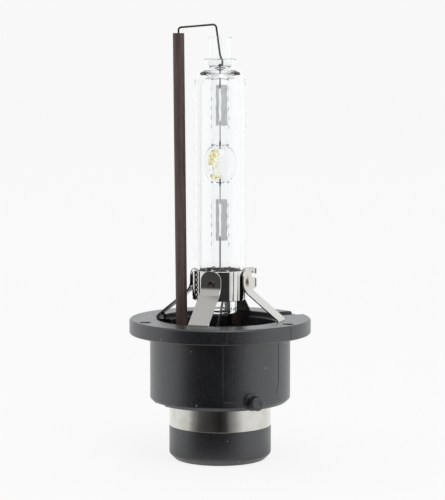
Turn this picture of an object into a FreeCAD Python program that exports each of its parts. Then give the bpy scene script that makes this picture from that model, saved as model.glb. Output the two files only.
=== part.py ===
import FreeCAD, Part

import math
import os
import re

import Sketcher

# Gas discharge headlight lamp with a plastic bayonet base.
# Millimetres. Z is the lamp's axis, z = 0 is the underside of the base's connector cup, and -Y is the front.

SIZES = {
    # base housing: connector cup, neck for the ring, barrel and flange, from the bottom up
    "cup_height": 6.0,
    "cup_chamfer": 1.05,
    "cup_wall": 2.0,
    "cup_bore_depth": 9.4,
    "neck_radius": 8.5,
    "barrel_height": 14.6,
    "barrel_radius": 12.3,
    "barrel_chamfer": 0.7,
    "notch_rise": 0.3,
    "notch_reach": 2.4,
    "notch_span": 20.0,
    "notch_azimuth": 206.0,
    "flange_radius": 15.9,
    "flange_thickness": 2.6,
    "flange_chamfer": 0.25,
    "mouth_wall": 1.2,
    "mouth_depth": 0.9,
    "ledge_width": 0.9,
    "cavity_depth": 11.8,
    "dimple_radius": 1.0,
    "dimple_depth": 0.2,
    "dimple_margin": 1.7,
    "dimple_azimuth": 205.0,
    "keyway_width": 4.6,
    "keyway_length": 4.9,
    "keyway_depth": 0.47,
    "keyway_azimuth": 27.6,
    # bayonet pins on the barrel
    "pin_radius": 1.2,
    "pin_reach": 2.3,
    "pin_height": 1.55,
    "pin_azimuth": -63.5,
    "pin_collar_radius": 1.5,
    "pin_collar_reach": 0.3,
    # outer contact ring and the tongue that the return wire is welded to
    "ring_height": 4.2,
    "ring_thickness": 0.45,
    "ring_edge": 0.12,
    "tongue_span": 18.0,
    "tongue_root": 1.0,
    "tongue_gap": 0.06,
    "tongue_reach": 4.0,
    # centre contact
    "contact_radius": 1.15,
    "contact_bore_radius": 0.55,
    "contact_length": 8.2,
    "contact_nose": 0.3,
    "contact_collar_radius": 1.9,
    "contact_collar_height": 0.6,
    "contact_head_radius": 2.1,
    "contact_head_height": 0.7,
    # clamp band round the outer bulb
    "band_height": 5.2,
    "band_thickness": 0.2,
    "band_gap": 0.05,
    "band_rise": 3.4,
    "ear_azimuth": 24.0,
    "ear_reach": 2.2,
    "ear_spacing": 0.5,
    "ear_thickness": 0.2,
    "ear_foot": 0.45,
    "ear_web": 1.2,
    "ear_hem": 0.75,
    "ear_hook": 0.55,
    "ear_window_low": 3.5,
    "ear_window_high": 4.7,
    "clinch_span": 38.0,
    "clinch_azimuth": 201.0,
    "clinch_thickness": 0.16,
    # the four legs
    "leg_azimuth": 251.0,
    "leg_width": 3.7,
    "leg_thickness": 0.28,
    "leg_overlap": 0.1,
    "leg_pad_height": 3.3,
    "leg_corner": 1.45,
    "leg_skew": 0.55,
    "leg_knee": 0.1,
    "leg_bend": 0.7,
    "leg_foot": 2.6,
    "weld_radius": 0.6,
    "weld_depth": 0.08,
    "weld_drop": 2.1,
    "slot_gap": 0.12,
    # outer bulb
    "light_centre": 27.1,
    "bulb_radius": 4.45,
    "bulb_wall": 0.85,
    "bulb_above": 16.1,
    "bulb_below": 22.4,
    "bulb_round": 1.5,
    "bulb_shoulder": 2.4,
    "shoulder_share": 0.29,
    "bulb_neck_wall": 0.75,
    "bulb_neck_length": 2.1,
    # arc tube
    "chamber_radius": 2.9,
    "chamber_length": 6.2,
    "chamber_waist": 1.7,
    "chamber_slope_length": 4.1,
    "chamber_slope_radius": 2.45,
    "cavity_bulge": 1.35,
    "cavity_length": 5.2,
    "shank_radius": 1.5,
    "tail_radius": 2.9,
    "tail_bore_radius": 2.1,
    "tail_below": 26.1,
    "tail_length": 4.2,
    "tail_taper": 3.2,
    "tail_bore_depth": 6.0,
    "top_radius": 2.0,
    "top_bore_radius": 1.4,
    "top_above": 21.9,
    "top_bore_depth": 5.6,
    "top_taper": 1.4,
    "fuse_gap": 0.02,
    # electrodes, foils and their leads
    "electrode_gap": 4.2,
    "electrode_radius": 0.15,
    "foil_width": 1.9,
    "foil_thickness": 0.06,
    "foil_length": 7.25,
    "foil_overlap": 0.8,
    "upper_foil_rise": 6.6,
    "lower_foil_drop": 6.2,
    "lead_radius": 0.22,
    "lead_stub": 1.0,
    "lead_sway": 0.65,
    "lead_drop": 1.5,
    "drop_radius": 0.5,
    # ceramic tube and return wire
    "return_azimuth": 187.5,
    "tube_radius": 0.99,
    "tube_bore_radius": 0.4,
    "tube_foot_offset": 6.68,
    "tube_top_offset": 7.23,
    "tube_above": 22.6,
    "wire_radius": 0.17,
    "wire_bend": 0.45,
    "wire_rise": 1.0,
    "wire_lap": 0.5,
    "crown_rise": 0.55,
    "crown_offset": 0.75,
}

LEVELS = {
    "barrel_bottom": "cup_height + ring_height",
    "flange_top": "barrel_bottom + barrel_height",
    "flange_bottom": "flange_top - flange_thickness",
    "tongue_radius": "neck_radius + ring_thickness / 2",
    "cup_bore_radius": "neck_radius - cup_wall",
    "ring_radius": "neck_radius + ring_thickness",
    "mouth_radius": "barrel_radius - mouth_wall",
    "cavity_radius": "mouth_radius - ledge_width",
    "cavity_floor": "flange_top - cavity_depth",
    "centre_height": "flange_top + light_centre",
    "band_bottom": "flange_top + band_rise",
    "band_top": "band_bottom + band_height",
    "band_bore": "bulb_radius + band_gap",
    "band_radius": "band_bore + band_thickness",
    "leg_top": "band_top + leg_overlap",
    "foot_radius": "mouth_radius + leg_thickness",
    "bulb_bottom": "centre_height - bulb_below",
    "bulb_top": "centre_height + bulb_above",
    "neck_top": "bulb_top + bulb_neck_length",
    "tube_bottom": "centre_height - tail_below",
    "tube_crown": "centre_height + top_above",
    "tail_bore_top": "tube_bottom + tail_bore_depth",
    "lead_top": "tube_crown - top_bore_depth + lead_stub",
    "upper_foil_low": "centre_height + upper_foil_rise",
    "lower_foil_high": "centre_height - lower_foil_drop",
    "lower_foil_low": "lower_foil_high - foil_length",
    "ceramic_bottom": "cavity_floor + ring_thickness",
    "ceramic_top": "centre_height + tube_above",
}

# each drop of salt: its azimuth, its height as a share of the hollow's length, and its size
SALT_DROPS = ((200, 0.1, 1.0), (236, -0.2, 0.85), (150, 0.3, 0.7))
LEG_NAMES = ("front_leg", "right_leg", "rear_leg", "left_leg")
SHEETS = (("Sizes", SIZES), ("Levels", LEVELS))


def sheet_formula(formula):
    """Returns the formula with each size and level named as a cell of its sheet."""
    def cell(word):
        for sheet, values in SHEETS:
            if word.group() in values:
                return sheet + "." + word.group()
        return word.group()
    return re.sub(r"[a-z][a-z_]+", cell, formula)


def value(doc, formula):
    """Returns what a formula of sizes and levels is worth."""
    return float(doc.getObject("Sizes").evalExpression(sheet_formula(formula)))


def bind(item, **formulas):
    """Ties each named property of the item to its formula."""
    for name, formula in formulas.items():
        item.setExpression(name, sheet_formula(formula))


def add_sheets(doc):
    """Writes the driving sizes and the levels worked out from them."""
    for title, values in SHEETS:
        sheet = doc.addObject("Spreadsheet::Sheet", title)
        for row, (alias, content) in enumerate(values.items(), start=1):
            text = "=" + sheet_formula(content) if isinstance(content, str) else str(content)
            sheet.set(f"A{row}", alias)
            sheet.set(f"B{row}", text)
            sheet.setAlias(f"B{row}", alias)
        doc.recompute()


def turned(azimuth):
    """Returns the rotation about the lamp's axis."""
    return FreeCAD.Rotation(FreeCAD.Vector(0, 0, 1), azimuth)


def origin_part(body, role):
    """Returns the body's own origin plane or axis with that role."""
    return next(part for part in body.Origin.OriginFeatures if part.Role == role)


def add_sketch(body, name, plane, offset=None):
    """Adds an empty sketch on an origin plane of the body, moved by the offset."""
    sketch = body.newObject("Sketcher::SketchObject", name)
    sketch.AttachmentSupport = [(origin_part(body, plane), "")]
    sketch.MapMode = "FlatFace"
    if offset is not None:
        sketch.AttachmentOffset = offset
    return sketch


def hold_point(sketch, side, corner):
    """Places the start of a sketch's side by two formulas, measured from the sketch's origin."""
    for kind, formula in zip(("DistanceX", "DistanceY"), corner):
        distance = value(sketch.Document, formula)
        index = sketch.addConstraint(Sketcher.Constraint(kind, -1, 1, side, 1, distance))
        bind(sketch, **{f"Constraints[{index}]": formula})


def add_outline(body, name, plane, corners, offset=None):
    """Adds a sketch of a closed outline with straight sides through the corners."""
    sketch = add_sketch(body, name, plane, offset)
    points = [FreeCAD.Vector(value(body.Document, x), value(body.Document, y), 0) for x, y in corners]
    count = len(points)
    for side in range(count):
        sketch.addGeometry(Part.LineSegment(points[side], points[(side + 1) % count]), False)
    for side in range(count):
        sketch.addConstraint(Sketcher.Constraint("Coincident", side, 2, (side + 1) % count, 1))
    for side, corner in enumerate(corners):
        hold_point(sketch, side, corner)
    return sketch


def add_circles(body, name, plane, circles, offset=None):
    """Adds a sketch of circles, each given by the formulas of its centre and radius."""
    sketch = add_sketch(body, name, plane, offset)
    for side, (x, y, radius) in enumerate(circles):
        centre = FreeCAD.Vector(value(body.Document, x), value(body.Document, y), 0)
        size = value(body.Document, radius)
        sketch.addGeometry(Part.Circle(centre, FreeCAD.Vector(0, 0, 1), size), False)
        for kind, formula in (("DistanceX", x), ("DistanceY", y)):
            constraint = Sketcher.Constraint(kind, -1, 1, side, 3, value(body.Document, formula))
            bind(sketch, **{f"Constraints[{sketch.addConstraint(constraint)}]": formula})
        index = sketch.addConstraint(Sketcher.Constraint("Radius", side, size))
        bind(sketch, **{f"Constraints[{index}]": radius})
    return sketch


def add_feature(body, kind, name, profile, **formulas):
    """Adds a feature made from a sketch, and makes it the body's tip."""
    feature = body.newObject("PartDesign::" + kind, name)
    feature.Profile = profile
    bind(feature, **formulas)
    body.Tip = feature
    return feature


def revolve(body, name, profile, cut=False, span=None):
    """Turns a section about the lamp's axis, all the way or by the span, half to each side."""
    feature = add_feature(body, "Groove" if cut else "Revolution", name, profile)
    feature.ReferenceAxis = (profile, ["V_Axis"])
    if span is not None:
        feature.Midplane = True
        bind(feature, Angle=span)
    return feature


def pad(body, name, profile, length, both_ways=False):
    """Pads a sketch by a length, from its plane or half to each side of it."""
    feature = add_feature(body, "Pad", name, profile, Length=length)
    if both_ways:
        feature.SideType = "Symmetric"
    return feature


def pocket(body, name, profile, depth, along_normal=False):
    """Cuts a sketch into the body, against its normal or along it."""
    feature = add_feature(body, "Pocket", name, profile, Length=depth)
    feature.Reversed = along_normal
    return feature


def repeat_round(body, name, feature, count):
    """Repeats a feature evenly round the lamp's axis."""
    pattern = body.newObject("PartDesign::PolarPattern", name)
    pattern.Originals = [feature]
    pattern.Axis = (origin_part(body, "Z_Axis"), [""])
    pattern.Angle = 360
    pattern.Occurrences = count
    body.Tip = pattern
    return pattern


def circle_edges(shape, places):
    """Names the full circles about the lamp's axis that lie at the given radii and heights."""
    names = []
    for number, edge in enumerate(shape.Edges, start=1):
        if not isinstance(edge.Curve, Part.Circle) or math.hypot(*edge.Curve.Center[:2]) > 0.01:
            continue
        spot = (edge.Curve.Radius, edge.Curve.Center.z)
        if any(math.dist(spot, place) < 0.01 for place in places):
            names.append(f"Edge{number}")
    return names


def edges_where(shape, wanted):
    """Names the edges of a shape that the test accepts."""
    return [f"Edge{number}" for number, edge in enumerate(shape.Edges, start=1) if wanted(edge)]


def finish_edges(body, name, edges, size, kind="Fillet"):
    """Rounds or chamfers the named edges of the body's tip."""
    base = body.Tip
    feature = body.newObject("PartDesign::" + kind, name)
    feature.Base = (base, edges)
    bind(feature, **{"Radius" if kind == "Fillet" else "Size": size})
    body.Tip = feature
    return feature


def round_circles(body, name, places, size, kind="Fillet"):
    """Rounds or chamfers the circular edges at the places, each a radius and a height."""
    doc = body.Document
    doc.recompute()
    spots = [(value(doc, across), value(doc, height)) for across, height in places]
    return finish_edges(body, name, circle_edges(body.Tip.Shape, spots), size, kind)


def add_body(doc, name):
    """Adds an empty body that carries the sub-part's name."""
    body = doc.addObject("PartDesign::Body", name)
    body.Label = name
    return body


def outward(azimuth, distance, height):
    """Places a sketch of the YZ plane so that it faces outwards at an azimuth, distance and height."""
    turn = FreeCAD.Rotation(FreeCAD.Vector(0, 1, 0), azimuth)
    return FreeCAD.Placement(turn.multVec(FreeCAD.Vector(0, 0, distance)) + FreeCAD.Vector(0, height, 0), turn)


def across(azimuth):
    """Turns a sketch of the XZ plane to an azimuth, so that its x runs outwards there."""
    return FreeCAD.Placement(FreeCAD.Vector(0, 0, 0), FreeCAD.Rotation(FreeCAD.Vector(0, 1, 0), azimuth))


def level(height, azimuth=0.0):
    """Raises a sketch of the XY plane to a height and turns its x to an azimuth."""
    return FreeCAD.Placement(FreeCAD.Vector(0, 0, height), turned(azimuth))


def rectangle(low_x, low_y, high_x, high_y):
    """Returns the four corners of an upright rectangle."""
    return [(low_x, low_y), (high_x, low_y), (high_x, high_y), (low_x, high_y)]


def make_housing(doc):
    """Moulds the base: cup, neck, barrel and flange, hollow from above and below, with two bayonet pins."""
    body = add_body(doc, "base_housing")
    section = add_outline(body, "HousingSection", "XZ_Plane", [
        ("contact_radius", "cup_bore_depth"),
        ("cup_bore_radius", "cup_bore_depth"),
        ("cup_bore_radius", "0"),
        ("ring_radius - cup_chamfer", "0"),
        ("ring_radius", "cup_chamfer"),
        ("ring_radius", "cup_height"),
        ("neck_radius", "cup_height"),
        ("neck_radius", "barrel_bottom"),
        ("barrel_radius - barrel_chamfer", "barrel_bottom"),
        ("barrel_radius", "barrel_bottom + barrel_chamfer"),
        ("barrel_radius", "flange_bottom"),
        ("flange_radius - flange_chamfer", "flange_bottom"),
        ("flange_radius", "flange_bottom + flange_chamfer"),
        ("flange_radius", "flange_top - flange_chamfer"),
        ("flange_radius - flange_chamfer", "flange_top"),
        ("mouth_radius", "flange_top"),
        ("mouth_radius", "flange_top - mouth_depth"),
        ("cavity_radius", "flange_top - mouth_depth"),
        ("cavity_radius", "cavity_floor"),
        ("contact_radius", "cavity_floor"),
    ])
    revolve(body, "HousingTurn", section)
    cut_leg_slots(body)
    cut_flange_marks(body)
    cut_tongue_slot(body)
    add_bayonet_pins(body)
    return body


def cut_leg_slots(body):
    """Cuts the four slots of the mouth's wall that take the legs' feet."""
    doc = body.Document
    half = "leg_width / 2 + slot_gap"
    slot = add_outline(
        body, "LegSlot", "XY_Plane",
        rectangle("cavity_radius - 0.5", f"-({half})", "foot_radius + slot_gap", half),
        level(value(doc, "flange_top"), value(doc, "leg_azimuth")),
    )
    cut = pocket(body, "LegSlotCut", slot, "leg_foot + slot_gap")
    repeat_round(body, "LegSlots", cut, len(LEG_NAMES))


def cut_flange_marks(body):
    """Cuts the flange's locating dimples and keyway, and the notch in the barrel's lower edge."""
    doc = body.Document
    top = value(doc, "flange_top")
    dimple = add_circles(
        body, "Dimple", "XY_Plane", [("flange_radius - dimple_margin", "0", "dimple_radius")],
        level(top, value(doc, "dimple_azimuth")),
    )
    repeat_round(body, "Dimples", pocket(body, "DimpleCut", dimple, "dimple_depth"), 3)
    keyway = add_outline(
        body, "Keyway", "XY_Plane",
        rectangle("flange_radius - keyway_length", "-keyway_width / 2", "flange_radius + 1", "keyway_width / 2"),
        level(top, value(doc, "keyway_azimuth")),
    )
    pocket(body, "KeywayCut", keyway, "keyway_depth")
    notch = add_outline(
        body, "EdgeNotch", "XZ_Plane",
        rectangle("barrel_radius - notch_reach", "barrel_bottom - 0.5",
                  "barrel_radius + 1", "barrel_bottom + notch_rise"),
        across(value(doc, "notch_azimuth")),
    )
    revolve(body, "EdgeNotchCut", notch, cut=True, span="notch_span")


def cut_tongue_slot(body):
    """Cuts the slot that the contact ring's tongue passes through into the cavity."""
    doc = body.Document
    slot = add_outline(
        body, "TongueSlot", "XZ_Plane",
        rectangle("neck_radius - ring_thickness - tongue_gap", "barrel_bottom - tongue_root - tongue_gap",
                  "neck_radius + tongue_gap", "cavity_floor + tongue_gap"),
        across(value(doc, "return_azimuth")),
    )
    revolve(body, "TongueSlotCut", slot, cut=True, span="tongue_span + 2")


def add_bayonet_pins(body):
    """Adds the two round bayonet pins, each with a low collar, on opposite sides of the barrel."""
    doc = body.Document
    azimuth = value(doc, "pin_azimuth")
    root = value(doc, "barrel_radius - mouth_wall")
    height = value(doc, "barrel_bottom + pin_height")
    for name, radius, reach in (
        ("PinCollar", "pin_collar_radius", "mouth_wall + pin_collar_reach"),
        ("Pin", "pin_radius", "mouth_wall + pin_reach"),
    ):
        circle = add_circles(body, name, "YZ_Plane", [("0", "0", radius)], outward(azimuth, root, height))
        repeat_round(body, name + "Pair", pad(body, name + "Pad", circle, reach), 2)


def make_contact_ring(doc):
    """Rolls the outer contact ring, whose tongue rises through the housing and lies on the cavity's floor."""
    body = add_body(doc, "contact_ring")
    section = add_outline(
        body, "RingSection", "XZ_Plane", rectangle("neck_radius", "cup_height", "ring_radius", "barrel_bottom"))
    revolve(body, "RingTurn", section)
    tongue = add_outline(body, "TongueSection", "XZ_Plane", [
        ("neck_radius - ring_thickness", "barrel_bottom - tongue_root"),
        ("tongue_radius", "barrel_bottom - tongue_root"),
        ("tongue_radius", "barrel_bottom"),
        ("neck_radius", "barrel_bottom"),
        ("neck_radius", "ceramic_bottom"),
        ("neck_radius - tongue_reach", "ceramic_bottom"),
        ("neck_radius - tongue_reach", "cavity_floor"),
        ("neck_radius - ring_thickness", "cavity_floor"),
    ], across(value(doc, "return_azimuth")))
    revolve(body, "Tongue", tongue, span="tongue_span")
    round_circles(body, "RingEdge", [("ring_radius", "cup_height")], "ring_edge", "Chamfer")
    return body


def make_centre_contact(doc):
    """Turns the hollow centre contact, held in the web by a collar below and a riveted head above."""
    body = add_body(doc, "centre_contact")
    tip = "cup_bore_depth - contact_length"
    section = add_outline(body, "ContactSection", "XZ_Plane", [
        ("contact_bore_radius", tip),
        ("contact_radius - contact_nose", tip),
        ("contact_radius", f"{tip} + contact_nose"),
        ("contact_radius", "cup_bore_depth - contact_collar_height"),
        ("contact_collar_radius", "cup_bore_depth - contact_collar_height"),
        ("contact_collar_radius", "cup_bore_depth"),
        ("contact_radius", "cup_bore_depth"),
        ("contact_radius", "cavity_floor"),
        ("contact_head_radius", "cavity_floor"),
        ("contact_head_radius", "cavity_floor + contact_head_height"),
        ("contact_bore_radius", "cavity_floor + contact_head_height"),
    ])
    revolve(body, "ContactTurn", section)
    return body


def make_clamp_band(doc):
    """Rolls the clamp band, with two ears where its ends meet and a clinched lap on the other side."""
    body = add_body(doc, "clamp_band")
    section = add_outline(
        body, "BandSection", "XZ_Plane", rectangle("band_bore", "band_bottom", "band_radius", "band_top"))
    revolve(body, "BandTurn", section)
    clinch = add_outline(
        body, "ClinchSection", "XZ_Plane",
        rectangle("band_radius - band_thickness / 2", "band_bottom", "band_radius + clinch_thickness", "band_top"),
        across(value(doc, "clinch_azimuth")),
    )
    revolve(body, "Clinch", clinch, span="clinch_span")
    azimuth = value(doc, "ear_azimuth")
    split = add_outline(
        body, "Split", "XY_Plane",
        rectangle("band_bore - 1", "-ear_spacing / 2", "band_radius + 1", "ear_spacing / 2"),
        level(value(doc, "band_top"), azimuth),
    )
    pocket(body, "SplitCut", split, "band_height")
    for name, side in (("NearEar", -1), ("FarEar", 1)):
        add_ear(body, name, azimuth, side)
    return body


def add_ear(body, name, azimuth, side):
    """Turns one end of the band out as an ear: a strip at its top, a hook at its tip and a lug below."""
    doc = body.Document
    reach = "band_radius + ear_reach"
    outline = add_outline(body, name, "XZ_Plane", [
        ("band_bore + band_thickness / 2", "band_bottom + ear_foot"),
        ("band_radius + ear_web", "band_bottom + 3 * ear_foot"),
        (reach, "band_bottom + 4 * ear_foot"),
        (reach, "band_bottom + ear_window_low"),
        ("band_radius + ear_web", "band_bottom + ear_window_low"),
        ("band_radius + ear_web", "band_bottom + ear_window_high"),
        (f"{reach} - ear_hem", "band_bottom + ear_window_high"),
        (f"{reach} - ear_hem", "band_bottom + ear_window_high - ear_hook"),
        (reach, "band_bottom + ear_window_high - ear_hook"),
        (reach, "band_top"),
        ("band_bore + band_thickness / 2", "band_top"),
    ], across(azimuth))
    shift = side * value(doc, "ear_spacing / 2 + ear_thickness / 2")
    turn = FreeCAD.Rotation(FreeCAD.Vector(0, 1, 0), azimuth)
    outline.AttachmentOffset = FreeCAD.Placement(turn.multVec(FreeCAD.Vector(0, 0, -shift)), turn)
    pad(body, name + "Pad", outline, "ear_thickness", both_ways=True)


def make_leg(doc, name, azimuth):
    """Bends one flat leg: a pad welded to the band, a slope outwards and a foot in the housing's slot."""
    body = add_body(doc, name)
    outer = "band_radius + leg_thickness"
    pad_low = "leg_top - leg_pad_height"
    slope = "leg_thickness * leg_skew"
    knee = "flange_top + leg_knee"
    profile = add_outline(body, name + "_side", "XZ_Plane", [
        ("band_radius", "leg_top"),
        ("band_radius", pad_low),
        ("foot_radius - leg_thickness", knee),
        ("foot_radius - leg_thickness", "flange_top - leg_foot"),
        ("foot_radius", "flange_top - leg_foot"),
        ("foot_radius", f"{knee} + {slope}"),
        (outer, f"{pad_low} + {slope}"),
        (outer, "leg_top"),
    ])
    pad(body, name + "_strip", profile, "leg_width", both_ways=True)
    doc.recompute()
    bends = {
        "_outer_bends": ("leg_bend + leg_thickness", [("band_radius", pad_low), ("foot_radius", f"{knee} + {slope}")]),
        "_inner_bends": ("leg_bend", [(outer, f"{pad_low} + {slope}"), ("foot_radius - leg_thickness", knee)]),
    }
    for suffix, (radius, places) in bends.items():
        doc.recompute()
        spots = [(value(doc, x), value(doc, z)) for x, z in places]
        edges = edges_where(body.Tip.Shape, lambda edge: any(
            math.dist((edge.CenterOfMass.x, edge.CenterOfMass.z), spot) < 0.01 for spot in spots))
        finish_edges(body, name + suffix, edges, radius)
    weld = add_circles(
        body, name + "_weld", "YZ_Plane", [("0", "0", "weld_radius")],
        outward(0, value(doc, outer), value(doc, "leg_top - weld_drop")),
    )
    pocket(body, name + "_weld_cut", weld, "weld_depth")
    doc.recompute()
    top = value(doc, "leg_top")
    thickness = value(doc, "leg_thickness")
    corners = edges_where(body.Tip.Shape, lambda edge: abs(edge.CenterOfMass.z - top) < 0.01
                          and abs(edge.Length - thickness) < 0.01)
    finish_edges(body, name + "_corners", corners, "leg_corner")
    body.Placement = FreeCAD.Placement(FreeCAD.Vector(0, 0, 0), turned(azimuth))
    return body


def make_outer_bulb(doc):
    """Blows the outer bulb: a tube closed on the arc tube below and drawn to a neck on it above."""
    body = add_body(doc, "outer_bulb")
    inner = "bulb_radius - bulb_wall"
    top_fit = "top_radius + fuse_gap"
    tail_fit = "tail_radius + fuse_gap"
    section = add_outline(body, "BulbSection", "XZ_Plane", [
        (tail_fit, "bulb_bottom"),
        ("bulb_radius", "bulb_bottom"),
        ("bulb_radius", "bulb_top - bulb_shoulder"),
        ("bulb_radius - bulb_round * shoulder_share", "bulb_top - bulb_shoulder * shoulder_share"),
        ("bulb_radius - bulb_round", "bulb_top"),
        (f"{top_fit} + bulb_neck_wall", "bulb_top"),
        (f"{top_fit} + bulb_neck_wall", "neck_top"),
        (top_fit, "neck_top"),
        (top_fit, "bulb_top - bulb_wall"),
        (inner, "bulb_top - bulb_wall"),
        (inner, "bulb_bottom + bulb_wall"),
        (tail_fit, "bulb_bottom + bulb_wall"),
    ])
    revolve(body, "BulbTurn", section)
    round_circles(body, "BulbEnd", [(inner, "bulb_top - bulb_wall")], "bulb_round - bulb_wall", "Chamfer")
    return body


def make_arc_tube(doc):
    """Blows the arc tube: shanks, chamber, open tail and top, with room for what is sealed into it."""
    body = add_body(doc, "ArcTubeGlass")
    tail_high = "tube_bottom + tail_length"
    well = "tube_crown - top_bore_depth"
    section = add_outline(body, "ArcTubeSection", "XZ_Plane", [
        ("0", "tail_bore_top"),
        ("tail_bore_radius", "tail_bore_top"),
        ("tail_bore_radius", "tube_bottom"),
        ("tail_radius", "tube_bottom"),
        ("tail_radius", tail_high),
        ("shank_radius", f"{tail_high} + tail_taper"),
        ("shank_radius", "centre_height - chamber_length / 2"),
        ("chamber_slope_radius", "centre_height - chamber_slope_length / 2"),
        ("chamber_radius", "centre_height - chamber_waist / 2"),
        ("chamber_radius", "centre_height + chamber_waist / 2"),
        ("chamber_slope_radius", "centre_height + chamber_slope_length / 2"),
        ("shank_radius", "centre_height + chamber_length / 2"),
        ("shank_radius", f"{well} - top_taper"),
        ("top_radius", well),
        ("top_radius", "tube_crown"),
        ("top_bore_radius", "tube_crown"),
        ("top_bore_radius", well),
        ("0", well),
    ])
    revolve(body, "ArcTubeTurn", section)
    hollow = add_outline(body, "HollowSection", "XZ_Plane", [
        ("0", "centre_height - cavity_length / 2"),
        ("cavity_bulge", "centre_height - cavity_length / 2"),
        ("cavity_bulge", "centre_height + cavity_length / 2"),
        ("0", "centre_height + cavity_length / 2"),
    ])
    revolve(body, "HollowTurn", hollow, cut=True)
    hollows = doc.addObject("Part::MultiFuse", "SealHollows")
    hollows.Shapes = [
        add_rod(doc, "ElectrodeHollow", "electrode_radius + fuse_gap",
                "upper_foil_low + foil_overlap + fuse_gap",
                "lower_foil_high - foil_overlap - fuse_gap"),
        add_foil(doc, "UpperFoilHollow", "upper_foil_low", "fuse_gap"),
        add_foil(doc, "LowerFoilHollow", "lower_foil_low", "fuse_gap"),
        add_rod(doc, "UpperLeadHollow", "lead_radius + fuse_gap",
                f"{well} + fuse_gap", "upper_foil_low + foil_length - foil_overlap - fuse_gap"),
        add_rod(doc, "LowerLeadHollow", "lead_radius + fuse_gap",
                "lower_foil_low + foil_overlap + fuse_gap", "tail_bore_top - fuse_gap"),
    ]
    glass = doc.addObject("Part::Cut", "arc_tube")
    glass.Label = "arc_tube"
    glass.Base = body
    glass.Tool = hollows
    return glass


def add_rod(doc, name, radius, high, low):
    """Adds an upright rod on the lamp's axis between two heights."""
    rod = doc.addObject("Part::Cylinder", name)
    bind(rod, Radius=radius, Height=f"({high}) - ({low})")
    rod.setExpression("Placement.Base.z", sheet_formula(low))
    return rod


def add_foil(doc, name, low, gap):
    """Adds a sealing foil behind the rods that lie on it, grown by a gap all round."""
    foil = doc.addObject("Part::Box", name)
    bind(foil, Length=f"foil_width + 2 * {gap}", Width=f"foil_thickness + 2 * {gap}",
         Height=f"foil_length + 2 * {gap}")
    foil.setExpression("Placement.Base.x", sheet_formula(f"-(foil_width / 2 + {gap})"))
    foil.setExpression("Placement.Base.y", sheet_formula(f"lead_radius - {gap}"))
    foil.setExpression("Placement.Base.z", sheet_formula(f"{low} - {gap}"))
    return foil


def bent_path(points, radius):
    """Returns a wire through the points; with a radius, one short flat cuts each inner corner."""
    if not radius:
        return Part.makePolygon(points)
    bends = [points[0]]
    for before, corner, after in zip(points, points[1:], points[2:]):
        back = (before - corner).normalize()
        ahead = (after - corner).normalize()
        reach = radius / math.tan(back.getAngle(ahead) / 2)
        bends += [corner + back * reach, corner + ahead * reach]
    return Part.makePolygon(bends + [points[-1]])


def swept_wire(path, radius):
    """Sweeps a round section along the path, mitred at its corners."""
    start = path.Edges[0].Vertexes[0].Point
    circle = Part.Circle(start, path.Edges[0].tangentAt(path.Edges[0].FirstParameter), radius)
    return path.makePipeShell([Part.Wire(circle.toShape())], True, True, 1)


def make_lower_lead(doc):
    """Runs the lower lead down the seal, across the open tail and into the centre contact."""
    bore_top = value(doc, "tail_bore_top")
    tail_low = value(doc, "tube_bottom")
    contact_top = value(doc, "cavity_floor + contact_head_height")
    path = bent_path([
        FreeCAD.Vector(0, 0, value(doc, "lower_foil_low + foil_overlap")),
        FreeCAD.Vector(0, 0, bore_top - value(doc, "lead_sway")),
        FreeCAD.Vector(value(doc, "lead_sway"), 0, (bore_top + tail_low) / 2),
        FreeCAD.Vector(-value(doc, "lead_sway"), 0, (2 * tail_low + contact_top) / 3),
        FreeCAD.Vector(0, 0, contact_top + value(doc, "lead_drop")),
        FreeCAD.Vector(0, 0, value(doc, "cavity_floor")),
    ], 0)
    lead = doc.addObject("Part::Feature", "lower_lead")
    lead.Shape = swept_wire(path, value(doc, "lead_radius"))
    return lead


def make_sealed_pieces(doc):
    """Makes the electrodes, the foils, the leads and the salts that the arc tube holds."""
    half_gap = "electrode_gap / 2"
    pieces = [
        add_rod(doc, "upper_electrode", "electrode_radius", "upper_foil_low + foil_overlap",
                f"centre_height + {half_gap}"),
        add_rod(doc, "lower_electrode", "electrode_radius", f"centre_height - {half_gap}",
                "lower_foil_high - foil_overlap"),
        add_foil(doc, "upper_foil", "upper_foil_low", "0"),
        add_foil(doc, "lower_foil", "lower_foil_low", "0"),
        add_rod(doc, "upper_lead", "lead_radius", "lead_top",
                "upper_foil_low + foil_length - foil_overlap"),
        make_lower_lead(doc),
        make_salts(doc),
    ]
    for piece in pieces:
        piece.Label = piece.Name
    return pieces


def make_salts(doc):
    """Melts the halide salts: three drops on the left wall of the arc chamber."""
    bounds = doc.addObject("Part::Cylinder", "SaltBounds")
    bind(bounds, Radius="cavity_bulge - fuse_gap", Height="cavity_length")
    bounds.setExpression("Placement.Base.z", sheet_formula("centre_height - cavity_length / 2"))
    drops = []
    for number, (azimuth, rise, size) in enumerate(SALT_DROPS, start=1):
        drop = doc.addObject("Part::Cylinder", f"SaltDrop{number}")
        bind(drop, Radius=f"drop_radius * {size}", Height=f"drop_radius * {size}")
        spot = turned(azimuth).multVec(FreeCAD.Vector(value(doc, "cavity_bulge"), 0, 0))
        drop.Placement.Base = spot + FreeCAD.Vector(0, 0, value(doc, f"centre_height + {rise} * cavity_length"))
        drops.append(drop)
    heap = doc.addObject("Part::MultiFuse", "SaltDrops")
    heap.Shapes = drops
    salts = doc.addObject("Part::MultiCommon", "halide_salts")
    salts.Shapes = [heap, bounds]
    return salts


def tube_lean(doc):
    """Returns the slope of the ceramic tube, sideways for each millimetre up."""
    return abs(value(doc, "(tube_top_offset - tube_foot_offset) / (ceramic_top - ceramic_bottom)"))


def tube_axis_offset(doc, height):
    """Returns how far the leaning ceramic tube's axis lies from the lamp's axis at a height."""
    foot = value(doc, "tube_foot_offset")
    top = value(doc, "tube_top_offset")
    share = (height - value(doc, "ceramic_bottom")) / value(doc, "ceramic_top - ceramic_bottom")
    return foot + (top - foot) * share


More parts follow.
